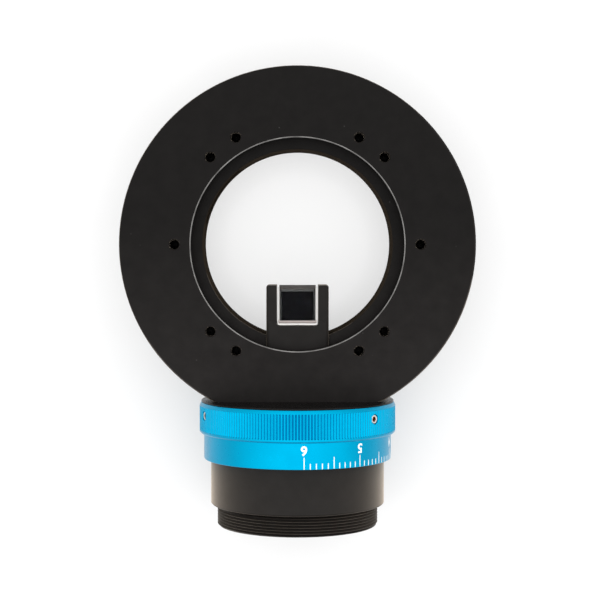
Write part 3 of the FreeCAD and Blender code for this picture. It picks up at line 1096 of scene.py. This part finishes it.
@dataclass
class FocusRing:
    """Blue ring: a knurled band towards the body, a plain graduated collar and three set screw holes."""

    finish: BlueAnodised = field(default_factory=BlueAnodised)
    knurl_radius: float = 25.65
    knurl_length: float = 8.15
    rear_edge: tuple[float, float] = (0.85, 0.45)
    front_edge: float = 0.45
    collar_radius: float = 24.5
    collar_edge: float = 0.14
    hub_bore: float = 23.3
    rib_start: float = 5.25
    rib_length: float = 3.4
    rib_tip: float = 21.5
    rib_root: float = 22.0
    collar_bore: float = 22.8
    grooves: int = 200
    groove_depth: float = 0.27
    groove_share: float = 0.85
    knurl_rear: float = 0.88
    knurl_front: float = 0.85
    knurl_ramp: float = 0.16
    rounding: float = 0.07
    steps: int = 8
    screw_angles: tuple[int, ...] = (50, 170, 290)
    screw_radius: float = 1.27
    screw_place: float = 3.1
    screw_sink: float = 0.12
    screw_flare: float = 0.3

    def profile(self) -> tuple[Array, Array]:
        """Closed (radius, height) outline from the rear of the bore round the outside.

        Returns:
            The rows, and how deep the knurl's grooves are on each, from 0 to 1.
        """
        rear, front = out_span("focus_ring")
        band = rear + self.knurl_length
        edge = self.front_edge
        outline = [(self.hub_bore, rear), (self.knurl_radius - self.rear_edge[1], rear),
                   (self.knurl_radius, rear + self.rear_edge[0]),
                   (self.knurl_radius, band - edge), (self.knurl_radius - edge, band),
                   (self.collar_radius, band), (self.collar_radius, front - self.collar_edge),
                   (self.collar_radius - self.collar_edge, front),
                   (self.collar_bore, front), (self.collar_bore, rear + self.rib_start + self.rib_length),
                   (self.rib_tip, rear + self.rib_start + self.rib_length),
                   (self.rib_tip, rear + self.rib_start), (self.hub_bore, rear + self.rib_start)]
        rows = softened(outline, self.rounding)
        start, end = rear + self.knurl_rear, band - self.knurl_front
        heights = np.array([start, start + self.knurl_ramp, end - self.knurl_ramp, end])
        knurl = np.column_stack([np.full(len(heights), self.knurl_radius), heights])
        corners_behind = 3
        place = corners_behind * (CORNER_STEPS + 1)
        rows = np.concatenate([rows[:place], knurl, rows[place:]])
        depth = np.zeros(len(rows))
        depth[place + 1:place + 3] = 1.0
        return rows, depth

    def surface(self) -> Surface:
        """The ring's skin: the profile carried round the axis, its knurled rows sunk by a raised cosine groove.

        The radius at turn u is r - depth * (1 + cos(2 pi q)) / 2, where q is the place across the groove from
        -1/2 to 1/2, and r on the land between two grooves.

        Returns:
            Points and quads.
        """
        rows, depth = self.profile()
        count = self.grooves * self.steps
        turn = np.linspace(0, 2 * np.pi, count, endpoint=False)[None, :]
        across = (turn * self.grooves / (2 * np.pi)) % 1.0 - 0.5
        inside = np.clip(across / self.groove_share, -0.5, 0.5)
        sink = self.groove_depth * depth[:, None] * (1 + np.cos(2 * np.pi * inside)) / 2
        points = around_z(rows[:, :1] - sink, rows[:, 1:], turn)
        return on_focuser(points.reshape(-1, 3)), grid_quads(len(rows), count, True, True)

    def build(self) -> list[bpy.types.Object]:
        """Make the ring with its set screw holes and ribs.

        Returns:
            The object, settled on its body.
        """
        rear = out_span("focus_ring")[0]
        ring = new_object("knurled_focus_ring", raw_mesh("knurled_focus_ring", *self.surface()))
        drill = [(0, self.hub_bore - 1), (self.screw_radius, self.hub_bore - 1),
                 (self.screw_radius, self.knurl_radius - self.screw_sink),
                 (self.screw_radius + self.screw_flare, self.knurl_radius + 0.2), (0, self.knurl_radius + 0.2)]
        drilled, faces = rod(drill, 32)
        carve(ring, [(standing_out(drilled, angle, rear + self.screw_place), faces)
                     for angle in self.screw_angles])
        ribs = rear + self.rib_start
        carve(ring, [HELICOID.bars(self.rib_tip - 0.8, self.rib_root, ribs, ribs + self.rib_length,
                                   HELICOID.pitch / 2)])
        shade(ring)
        dress(ring, self.finish.material())
        return [settle(ring, "ring", "blue_anodised", "focus_ring")]


@dataclass
class FocusScale:
    """White ticks and numbers on the collar, 0 to 6."""

    paint: Plain = Plain("white_filled_marks", (0.86, 0.86, 0.84), (0.72, 0.73, 0.72), 0.5, 9000.0, 0.002)
    ring: FocusRing = field(default_factory=FocusRing)
    units: int = 6
    step_angle: float = 3.6
    zero_angle: float = 219.8
    width: float = 0.25
    lengths: tuple[float, float, float] = (2.95, 2.95, 1.42)
    edge_gap: float = 0.15
    number_height: float = 2.3
    number_gap: float = 0.45
    number_proud: float = 0.012
    number_depth: float = 0.04
    boldness: float = 0.085
    font_scale: float = 1.42

    @property
    def radius(self) -> float:
        """Radius of the collar that the marks are painted on."""
        return self.ring.collar_radius

    def ticks(self) -> Surface:
        """Every tick as a thin slab bent round the collar, tick n at the angle zero - n * step.

        Returns:
            Points and quads.
        """
        number = np.arange(self.units * 10 + 1)
        front = np.full(len(number), out_span("focus_ring")[1] - self.edge_gap)
        length = np.where(number % 10 == 0, self.lengths[0],
                          np.where(number % 5 == 0, self.lengths[1], self.lengths[2]))
        angles = self.zero_angle - number * self.step_angle
        return bent_slabs(self.radius, angles, front, front - length, self.width)

    def number_mesh(self, text: str, angle: float, height: float) -> bpy.types.Mesh:
        """A number bent round the collar, to be read with the thread end up.

        The flat number's point (x, y, z) goes to (r sin t, r cos t, h), with t = angle - x / R, r a little less
        than R + z, and h = height + y.

        Args:
            text: the number.
            angle: degrees round the focuser.
            height: out of the number's foot.

        Returns:
            The mesh, in place.
        """
        curve = bpy.data.curves.new("number_" + text, "FONT")
        curve.body = text
        curve.size = self.number_height * self.font_scale
        curve.align_x = "CENTER"
        curve.extrude = self.number_depth / 2
        curve.offset = self.boldness
        curve.resolution_u = 5
        flat = bpy.data.objects.new("flat_number", curve)
        bpy.context.scene.collection.objects.link(flat)
        bpy.context.view_layer.update()
        mesh = bpy.data.meshes.new_from_object(flat.evaluated_get(bpy.context.evaluated_depsgraph_get()))
        bpy.data.objects.remove(flat)
        points = np.zeros(len(mesh.vertices) * 3)
        mesh.vertices.foreach_get("co", points)
        x, y, z = points.reshape(-1, 3).T
        turn = math.radians(angle) - x / self.radius
        bent = around_z(self.radius + z + self.number_proud - self.number_depth / 2, height + y, turn)
        mesh.vertices.foreach_set("co", (on_focuser(bent) * MM).ravel())
        return mesh

    def build(self) -> list[bpy.types.Object]:
        """Make the ticks and the numbers.

        Returns:
            Both objects.
        """
        paint = self.paint.material()
        ticks = new_object("scale_ticks", raw_mesh("scale_ticks", *self.ticks()))
        front = out_span("focus_ring")[1] - self.edge_gap
        foot = front - self.lengths[0] - self.number_gap - self.number_height
        joined = bmesh.new()
        for number in range(self.units + 1):
            mesh = self.number_mesh(str(number), self.zero_angle - 10 * number * self.step_angle, foot)
            joined.from_mesh(mesh)
            bpy.data.meshes.remove(mesh)
        bmesh.ops.remove_doubles(joined, verts=joined.verts, dist=MERGE)
        whole = bpy.data.meshes.new("scale_numbers")
        joined.to_mesh(whole)
        joined.free()
        numbers = new_object("scale_numbers", whole)
        for piece in (ticks, numbers):
            dress(piece, paint)
            settle(piece, "ring", "blue_anodised")
        return [ticks, numbers]


@dataclass
class Drawtube:
    """Black tube that slides out of the ring, with the guide camera's thread at its end."""

    finish: BlackAnodised = BlackAnodised("black_anodised_tube", Axis.FOCUSER, dark=(0.0085, 0.0079, 0.0076),
                                          pale=(0.0125, 0.0116, 0.0112), bloom=0.8)
    # A darker copy of the black finish for the thread: painted shade on the thread.
    thread_finish: BlackAnodised = BlackAnodised("black_anodised_thread_painted_shade", Axis.FOCUSER, bloom=0.2, shine=0.045)
    radius: float = 22.7
    inner_radius: float = 21.9
    inner_bore: float = 20.1
    bore: float = 18.5
    shoulder: float = 8.2
    step: float = 20.5
    thread_radius: float = 21.0
    thread_length: float = 5.5
    edge: float = 0.4
    edge_softness: float = 0.06
    bore_chamfer: float = 0.3
    step_chamfer: float = 0.2
    groove_radius: float = 21.4
    groove_past: float = 1.5
    pin_angles: tuple[int, ...] = (60, 180, 300)
    pin_radius: float = 1.02
    pin_place: float = 2.5
    scale: FocusScale = field(default_factory=FocusScale)
    line_gap: float = 0.2
    line_length: float = 2.6
    line_width: float = 0.3

    def build(self) -> list[bpy.types.Object]:
        """Make the tube and the white line that the scale is read against.

        Returns:
            Both objects.
        """
        rear, end = out_span("drawtube")
        front = end - self.thread_length
        thread = MaleThread(self.thread_radius, front, end)
        rim = self.thread_radius - thread.depth - self.bore_chamfer
        step, shoulder, soft = rear + self.step, rear + self.shoulder, self.edge_softness
        profile = [(rim, end), (self.bore + self.bore_chamfer, end), (self.bore, end - self.bore_chamfer),
                   (self.bore, step + self.step_chamfer), (self.bore + self.step_chamfer, step),
                   (self.inner_bore, step), (self.inner_bore, rear), (self.inner_radius, rear),
                   (self.inner_radius, shoulder), (self.radius, shoulder), (self.radius, front - self.edge),
                   (self.radius - soft, front - self.edge + 0.1),
                   (self.radius - self.edge + soft, front - soft),
                   (self.radius - self.edge - 0.04, front), (thread.root + 0.12, front)]
        points, quads = thread.closed_with(profile)
        name = "guide_camera_drawtube"
        tube = new_object(name, raw_mesh(name, on_focuser(points), quads))
        carve(tube, [HELICOID.bars(self.groove_radius, self.inner_radius + 0.4, rear - self.groove_past,
                                   shoulder - self.groove_past, 0.0)])
        drill = [(0, self.inner_bore - 1), (self.pin_radius, self.inner_bore - 1),
                 (self.pin_radius, self.inner_radius + 0.3), (0, self.inner_radius + 0.3)]
        drilled, faces = rod(drill, 24)
        carve(tube, [(standing_out(drilled, angle, rear + self.pin_place), faces)
                     for angle in self.pin_angles])
        shade(tube)
        dress(tube, self.finish.material(), self.thread_finish.material())
        # The thread's faces take the darker copy: painted shade.
        paint_faces(tube, -face_values(tube, "center")[:, 1] / MM > front - self.edge + 0.02)
        settle(tube, "tube", "black_anodised", "drawtube")
        return [tube, self.index_line()]

    def index_line(self) -> bpy.types.Object:
        """The white line that meets the scale's 0, on the side away from the telescope.

        Returns:
            The line as a thin bent slab.
        """
        start = np.array([out_span("focus_ring")[1] + self.line_gap])
        slab = bent_slabs(self.radius, np.array([self.scale.zero_angle]), start, start + self.line_length,
                          self.line_width)
        line = new_object("index_line", raw_mesh("index_line", *slab))
        dress(line, self.scale.paint.material())
        return settle(line, "tube", "black_anodised")


@dataclass
class SetScrew:
    """A socket set screw: chamfered, with a six-sided socket."""

    radius: float
    length: float
    across_flats: float
    socket_depth: float = 1.2
    socket_chamfer: float = 0.07
    drill_radius: float = 0.15
    drill_depth: float = 0.3
    chamfer: float = 0.22
    count: int = 48

    def surface(self) -> Surface:
        """The screw about Z, its socket face at zero and its body below.

        Rows run from the point at the bottom, up the outside, over the chamfered end and down the socket. A
        socket row's radius at turn u is (s / 2) / cos(((u + 30) mod 60) - 30), the distance to the side of a
        hexagon.

        Returns:
            Points and quads.
        """
        turn = np.linspace(0, 2 * np.pi, self.count, endpoint=False)
        hexagon = self.across_flats / 2 / np.cos((turn + np.pi / 6) % (np.pi / 3) - np.pi / 6)
        rim = self.across_flats / math.sqrt(3) + 0.06
        bottom, tip = -self.socket_depth - self.drill_depth, 0.04
        rows = [(0, -self.length), (self.radius, -self.length), (self.radius, -self.chamfer),
                (self.radius - self.chamfer, 0.0), (rim, 0.0), (hexagon, -self.socket_chamfer),
                (hexagon, -self.socket_depth), (self.drill_radius, bottom), (0, bottom - tip)]
        radius = np.stack([row + 0 * turn for row, _ in rows])
        height = np.array([height for _, height in rows])[:, None]
        points = around_z(radius, height, turn)
        return points.reshape(-1, 3), grid_quads(len(rows), self.count, False, True)


@dataclass
class RetainingScrews:
    """The three set screws in the knurled ring."""

    finish: Steel = Steel("set_screw_steel", socket_below=25.0)
    screw: SetScrew = field(default_factory=lambda: SetScrew(1.25, 1.95, 1.3))
    ring: FocusRing = field(default_factory=FocusRing)
    face: float = 25.35

    def build(self) -> list[bpy.types.Object]:
        """Make the screws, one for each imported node.

        Returns:
            The screws.
        """
        steel = self.finish.material()
        out = out_span("focus_ring")[0] + self.ring.screw_place
        points, quads = self.screw.surface()
        made = []
        for number, angle in enumerate(self.ring.screw_angles, 1):
            name = f"ring_set_screw_{number}"
            placed = standing_out(points + [0, 0, self.face], angle, out)
            piece = new_object(name, raw_mesh(name, placed, quads))
            shade(piece)
            dress(piece, steel)
            made.append(settle(piece, "ring", "steel", f"ring_retaining_screw_{number}"))
        return made


@dataclass
class CameraAdapter:
    """Threaded ring for the main camera, with six countersunk screws, on the side away from the telescope."""

    finish: BlackAnodised = BlackAnodised("black_anodised_adapter", Axis.OPTICAL)
    flange_radius: float = 36.0
    bore: float = 24.7
    thread_radius: float = 27.0
    thread_length: float = 4.0
    screw_circle: float = 31.6
    screws: int = 6
    head_radius: float = 2.77
    head_depth: float = 1.42
    head_rim: float = 0.15
    shank_radius: float = 1.52
    shank_depth: float = 3.5
    bore_chamfer: float = 0.3
    seat_chamfer: float = 0.2
    flange_chamfer: float = 0.15
    edge: float = 0.2
    edge_softness: float = 0.06
    wall: MatteBore = field(default_factory=MatteBore)

    def build(self) -> list[bpy.types.Object]:
        """Make the adapter with its countersunk holes.

        Returns:
            The object.
        """
        low, high = span("camera_adapter")
        seat, end = -high[2], -low[2]
        face = end - self.thread_length
        thread = MaleThread(self.thread_radius, face, end, count=360)
        rim = self.thread_radius - thread.depth - self.bore_chamfer
        outer, soft = self.flange_radius, self.edge_softness
        profile = [(rim, end), (self.bore + self.bore_chamfer, end), (self.bore, end - self.bore_chamfer),
                   (self.bore, seat + self.seat_chamfer), (self.bore + self.seat_chamfer, seat),
                   (outer - self.flange_chamfer, seat), (outer, seat + self.flange_chamfer),
                   (outer, face - self.edge), (outer - soft, face - soft), (outer - self.edge, face),
                   (thread.root + 0.12, face)]
        points, quads = thread.closed_with(profile)
        piece = new_object("camera_thread_ring", raw_mesh("camera_thread_ring", points * UPSIDE_DOWN, quads))
        sink, faces = rod([(0, -self.shank_depth), (self.shank_radius, -self.shank_depth),
                           (self.shank_radius, -self.head_depth), (self.head_radius, -self.head_rim),
                           (self.head_radius, CUT_PAST), (0, CUT_PAST)], 40)
        places = [on_circle(self.screw_circle, 360 * index / self.screws, -face)
                  for index in range(self.screws)]
        carve(piece, [(sink * UPSIDE_DOWN + place, faces) for place in places])
        clean(piece.data, FLAT)
        shade(piece)
        dress(piece, self.finish.material(), self.wall.material())
        paint_faces(piece, bore_faces(piece, self.bore + self.seat_chamfer))
        return [settle(piece, "housing", "black_anodised", "camera_adapter")]


@dataclass
class Prism:
    """Right-angle prism with ground bevels, held by clear cement between two cheeks."""

    glass: PrismGlass = field(default_factory=PrismGlass)
    frosted: GroundGlass = field(default_factory=GroundGlass)
    cement: Plain = Plain("cured_cement", (0.72, 0.71, 0.69), (0.60, 0.58, 0.56), 0.4, 1800.0, 0.02)
    bevel: float = 0.3
    exit_bevel: float = 0.92
    tip_bevel: float = 0.12
    tip_reach: float = 0.5
    side_width: float = 0.08
    exit_width: float = 0.25
    bead_height: float = 0.13
    bead_out: float = 0.05
    bead_drop: float = 0.14
    bead_corner: float = 0.55
    bead_steps: int = 70
    bead_sides: int = 14

    def build(self) -> list[bpy.types.Object]:
        """Make the prism and its two lines of cement.

        Returns:
            The three objects.
        """
        low, high = span("prism")
        glass, frosted = self.glass.material(), self.frosted.material()
        piece = new_object("pickoff_prism", self.wedge(low, high))
        dress(piece, glass, frosted)
        edges = piece.modifiers.new("Ground bevels", "BEVEL")
        edges.limit_method = "WEIGHT"
        edges.width = self.exit_bevel * MM
        edges.segments = 1
        edges.material = 1
        settle(piece, "stem", "prism_glass", "prism")
        beads = [self.bead(side, low, high) for side in (-1, 1)]
        return [piece, *beads]

    def wedge(self, low: Array, high: Array) -> bpy.types.Mesh:
        """The sharp wedge, with a bevel weight on each edge: 1 at the exit edge, less elsewhere.

        Args:
            low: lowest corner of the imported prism, in millimetres.
            high: its highest corner.

        Returns:
            The mesh.
        """
        tip, end, top, foot = high[1] + self.tip_reach, low[1], high[2], low[2]
        half = high[0]
        corners = [(-half, end, top), (-half, tip, top), (-half, end, foot),
                   (half, end, top), (half, tip, top), (half, end, foot)]
        faces = [(0, 1, 2), (3, 5, 4), (0, 3, 4, 1), (0, 2, 5, 3), (1, 4, 5, 2)]
        mesh = bpy.data.meshes.new("pickoff_prism")
        mesh.from_pydata([tuple(np.array(corner) * MM) for corner in corners], [], faces)
        mesh.update(calc_edges=True)
        clean(mesh)
        weight = mesh.attributes.new("bevel_weight_edge", "FLOAT", "EDGE")
        ends = np.zeros(len(mesh.edges) * 2, np.int32)
        mesh.edges.foreach_get("vertices", ends)
        ends = np.sort(ends.reshape(-1, 2), axis=1)
        exit_edge = (ends == [0, 3]).all(axis=1)
        tip_edge = (ends == [1, 4]).all(axis=1)
        width = np.where(exit_edge, self.exit_bevel, np.where(tip_edge, self.tip_bevel, self.bevel))
        weight.data.foreach_set("value", (width / self.exit_bevel).astype(np.float32))
        return mesh

    def bead(self, side: int, low: Array, high: Array) -> bpy.types.Object:
        """A rounded line of cement beside the prism and round its exit corner, a little below the top.

        Its section (a cos v, b sin v), for v over a full turn, is carried along the prism's side and half way
        across its exit edge. The half width a grows smoothly from the side's to the exit's.

        Args:
            side: -1 for the left one, 1 for the right one.
            low: lowest corner of the prism, in millimetres.
            high: its highest corner.

        Returns:
            The object.
        """
        tip, end, top = high[1], low[1] - self.bead_out, high[2] - self.bead_drop
        outer = high[0] + self.side_width
        corner = self.bead_corner
        path = np.array([[outer, tip, top], [outer, (tip + end) / 2, top], [outer, end + corner * 1.4, top],
                         [outer - corner * 0.2, end + corner * 0.4, top], [outer - corner, end, top],
                         [0.0, end, top]])
        path[:, 0] *= side
        line = smooth_path(path, self.bead_steps)
        turn = np.linspace(0, 2 * np.pi, self.bead_sides, endpoint=False)
        ahead = np.gradient(line, axis=0)
        ahead /= np.linalg.norm(ahead, axis=1)[:, None]
        up = np.tile([0.0, 0.0, 1.0], (len(line), 1))
        across = np.cross(ahead, up)
        across /= np.linalg.norm(across, axis=1)[:, None]
        grown = np.interp(line[:, 1], [end, end + corner * 1.2], [self.exit_width, self.side_width])
        section = across[:, None] * np.cos(turn)[None, :, None] * grown[:, None, None]
        section = section + up[:, None] * np.sin(turn)[None, :, None] * self.bead_height
        points = line[:, None] + section
        first, last = (np.repeat(line[place:][:1, None], self.bead_sides, axis=1) for place in (0, -1))
        points = np.concatenate([first, points, last])
        quads = grid_quads(len(points), self.bead_sides, False, True)
        name = "cement_left" if side < 0 else "cement_right"
        piece = new_object(name, raw_mesh(name, points.reshape(-1, 3), quads))
        piece.data.shade_smooth()
        dress(piece, self.cement.material())
        node = "prism_adhesive_left" if side < 0 else "prism_adhesive_right"
        return settle(piece, "stem", "adhesive", node)


@dataclass
class Body:
    """The disc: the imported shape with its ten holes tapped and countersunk."""

    # The body's finish paints a highlight on the register's mouth and paints light paler towards the focuser.
    finish: BlackAnodised = BlackAnodised("black_anodised_body", Axis.OPTICAL, edge=(27.45, 27.7),
                                          handled=(-6.0, 34.0), handled_gain=2.3)
    recess: BlackAnodised = BlackAnodised("black_anodised_recess", Axis.OPTICAL, bloom=0.0, shine=0.03)
    recess_radius: float = 27.6
    hole_circle: float = 31.6
    hole_angles: tuple[int, ...] = (0, 45, 60, 120, 135, 180, 225, 240, 300, 315)
    thread_radius: float = 1.5
    thread_pitch: float = 0.5
    thread_depth: float = 5.2
    tap_above: float = 0.4
    mouth: float = 1.5
    mouth_depth: float = 0.3
    wall: MatteBore = field(default_factory=MatteBore)
    wall_radius: float = 24.9

    def cutters(self) -> tuple[Surface, Surface]:
        """What cuts one hole: a tap, and a countersink.

        Returns:
            The tap's shell and the countersink's shell.
        """
        above = self.tap_above
        tap = MaleThread(self.thread_radius, -self.thread_depth, above, self.thread_pitch, 0.0, 0.01, 28)
        thread = tap.closed_with([(0.0, above), (0.0, -self.thread_depth)])
        floor = self.mouth - self.mouth_depth
        sink = rod([(0, -self.mouth_depth), (floor, -self.mouth_depth), (self.mouth, 0.0),
                    (self.mouth, CUT_PAST), (0, CUT_PAST)], 40)
        return thread, sink

    def build(self) -> list[bpy.types.Object]:
        """Make the body.

        Returns:
            The object.
        """
        body = merged_copy("main_body", "guider_body")
        for points, faces in self.cutters():
            carve(body, [(points + on_circle(self.hole_circle, angle), faces) for angle in self.hole_angles])
        clean(body.data, FLAT)
        shade(body)
        dress(body, self.finish.material(), self.recess.material(), self.wall.material())
        paint_faces(body, bore_faces(body, self.recess_radius))
        paint_faces(body, bore_faces(body, self.wall_radius), 2)
        return [settle(body, "housing", "black_anodised", "main_body")]


@dataclass
class Stem:
    """The sliding prism holder, with its edges broken by a fine bevel."""

    finish: BlackAnodised = BlackAnodised("black_anodised_stem", Axis.OPTICAL, dark=(0.0085, 0.0077, 0.0073),
                                          pale=(0.013, 0.0118, 0.0112), marks=0.0)
    edge: float = 0.12

    def build(self) -> list[bpy.types.Object]:
        """Make the stem.

        Returns:
            The object.
        """
        stem = merged_copy("prism_stem", "prism_holder", FLAT)
        bevel = stem.modifiers.new("Broken edges", "BEVEL")
        bevel.width = self.edge * MM
        bevel.segments = 2
        bevel.limit_method = "ANGLE"
        bevel.angle_limit = SHARP
        bevel.miter_outer = "MITER_ARC"
        shade(stem)
        dress(stem, self.finish.material())
        return [settle(stem, "stem", "black_anodised", "prism_stem")]


@dataclass
class Hardware:
    """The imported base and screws, which keep their shape and get their finishes here."""

    base: BlackAnodised = BlackAnodised("black_anodised_base", Axis.FOCUSER, roughness=0.24, shine=0.1,
                                        bloom=0.0)
    steel: Steel = Steel("screw_steel")
    steel_nodes: tuple[str, ...] = ("camera_adapter_screw", "base_screw", "stem_lock_screw", "guide_pin")
    nylon: Plain = Plain("natural_nylon", (0.8, 0.79, 0.73), (0.7, 0.69, 0.62), 0.45)

    def build(self) -> list[str]:
        """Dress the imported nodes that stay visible.

        Returns:
            Their names.
        """
        dress_nodes(self.base.material(), ["focuser_base"])
        names = sorted(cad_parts)
        screws = [name for name in names if name.startswith(self.steel_nodes)]
        tips = [name for name in names if name.startswith("stem_lock_tip")]
        dress_nodes(self.steel.material(), screws)
        dress_nodes(self.nylon.material(), tips)
        return ["focuser_base", *screws, *tips]


# ---------------------------------------------------------------- studio

@dataclass
class Studio:
    """Pale glowing floor, soft light from all round and the camera, which looks down on the telescope side."""

    camera_distance: float = 408.1
    camera_aim: tuple[float, float] = (0.64, -14.2)
    lens: float = 93.45
    floor_size: float = 3.0
    floor_gap: float = 0.2
    floor_light: Colour = (0.53, 0.53, 0.53)
    floor_dark: Colour = (0.50, 0.50, 0.50)
    glow_middle: tuple[float, float] = (18.0, 0.5)
    glow_outside: tuple[float, float] = (32.0, 0.3)
    horizon: float = 1.15
    zenith: float = 2.05
    card_radius: float = 20.0
    card_out: float = 84.0
    card_sides: int = 64

    def build(self) -> None:
        """Make the floor, the light, the card behind the beam's way out and the camera."""
        self.floor()
        self.world()
        self.card()
        self.camera()

    def floor(self) -> None:
        """A pale matte table that is lit from below, under the lowest piece, with a faint texture."""
        lowest = CAD_BOX[0].z - self.floor_gap * MM
        corner = self.floor_size / 2
        mesh = bpy.data.meshes.new("studio_floor")
        mesh.from_pydata([(-corner, -corner, lowest), (corner, -corner, lowest), (corner, corner, lowest),
                          (-corner, corner, lowest)], [], [(0, 1, 2, 3)])
        floor = new_object("studio_floor", mesh)
        shader = Shader("pale_floor")
        texture = shader.noise(40, 3)
        colour = shader.blend(texture, self.floor_dark, self.floor_light)
        distance = shader.parts(shader.lathe_place(Axis.OPTICAL))["X"]
        (inner, bright), (outer, dim) = self.glow_middle, self.glow_outside
        glow = shader.ramp(distance, inner * MM, outer * MM, bright, dim)
        shader.set(Base_Color=colour, Roughness=0.9, Specular_IOR_Level=0.1,
                   Emission_Color=(1.0, 1.0, 1.0, 1.0), Emission_Strength=glow)
        dress(floor, shader.material)

    def world(self) -> None:
        """A white surround, brighter overhead than at the horizon."""
        world = bpy.data.worlds.new("studio")
        bpy.context.scene.world = world
        world.use_nodes = True
        tree = world.node_tree
        direction = tree.nodes.new("ShaderNodeTexCoord")
        apart = tree.nodes.new("ShaderNodeSeparateXYZ")
        tree.links.new(direction.outputs["Generated"], apart.inputs[0])
        fade = tree.nodes.new("ShaderNodeMapRange")
        fade.inputs["From Min"].default_value = 0.0
        fade.inputs["From Max"].default_value = 1.0
        fade.inputs["To Min"].default_value = self.horizon
        fade.inputs["To Max"].default_value = self.zenith
        tree.links.new(apart.outputs["Z"], fade.inputs["Value"])
        tree.links.new(fade.outputs["Result"], tree.nodes["Background"].inputs["Strength"])
        tree.nodes["Background"].inputs["Color"].default_value = (1.0, 1.0, 1.0, 1.0)

    def card(self) -> None:
        """A black card where a camera's dark sensor would be, seen by light through glass only: painted shade for the
        view through the prism.
        """
        mesh = bpy.data.meshes.new("dark_card")
        turn = np.linspace(0, 2 * np.pi, self.card_sides, endpoint=False)
        disc = around_z(self.card_radius, self.card_out, turn)
        mesh.from_pydata((on_focuser(disc) * MM).tolist(), [], [tuple(range(self.card_sides))])
        card = new_object("dark_card", mesh)
        shader = Shader("dark_card")
        shader.set(Base_Color=shader.blend(shader.noise(200, 2), (0.004, 0.004, 0.004), (0.006, 0.006, 0.006)),
                   Roughness=1.0, Specular_IOR_Level=0.0)
        dress(card, shader.material)
        card.visible_camera = False
        card.visible_diffuse = False
        card.visible_glossy = False
        card.visible_shadow = False

    def camera(self) -> None:
        """The camera straight above the disc's centre, tilted a little towards the middle of the part."""
        data = bpy.data.cameras.new("camera")
        data.sensor_width = 36.0
        data.lens = self.lens
        data.clip_start, data.clip_end = 0.01, 10.0
        camera = bpy.data.objects.new("camera", data)
        height = AXIS_HEIGHT + self.camera_distance
        aim_x, aim_y = self.camera_aim
        camera.location = (0.0, 0.0, height * MM)
        camera.rotation_euler = (math.atan2(aim_y, height), -math.atan2(aim_x, height), 0.0)
        bpy.context.scene.collection.objects.link(camera)
        bpy.context.scene.camera = camera
        bpy.context.scene.view_settings.view_transform = "Standard"


def report(pieces: list[bpy.types.Object]) -> None:
    """Log each piece with its number of faces."""
    for piece in pieces:
        log.info("%s: %d faces", piece.name, len(piece.data.polygons))


def main() -> None:
    """Build the pieces in order."""
    logging.basicConfig(level=logging.INFO, format="%(message)s")
    Studio().build()
    log.info("dressed %s", ", ".join(Hardware().build()))
    parts = (Body(), Stem(), FocusRing(), FocusScale(), Drawtube(), RetainingScrews(), CameraAdapter(), Prism())
    for part in parts:
        report(part.build())


if __name__ == "__main__":
    main()
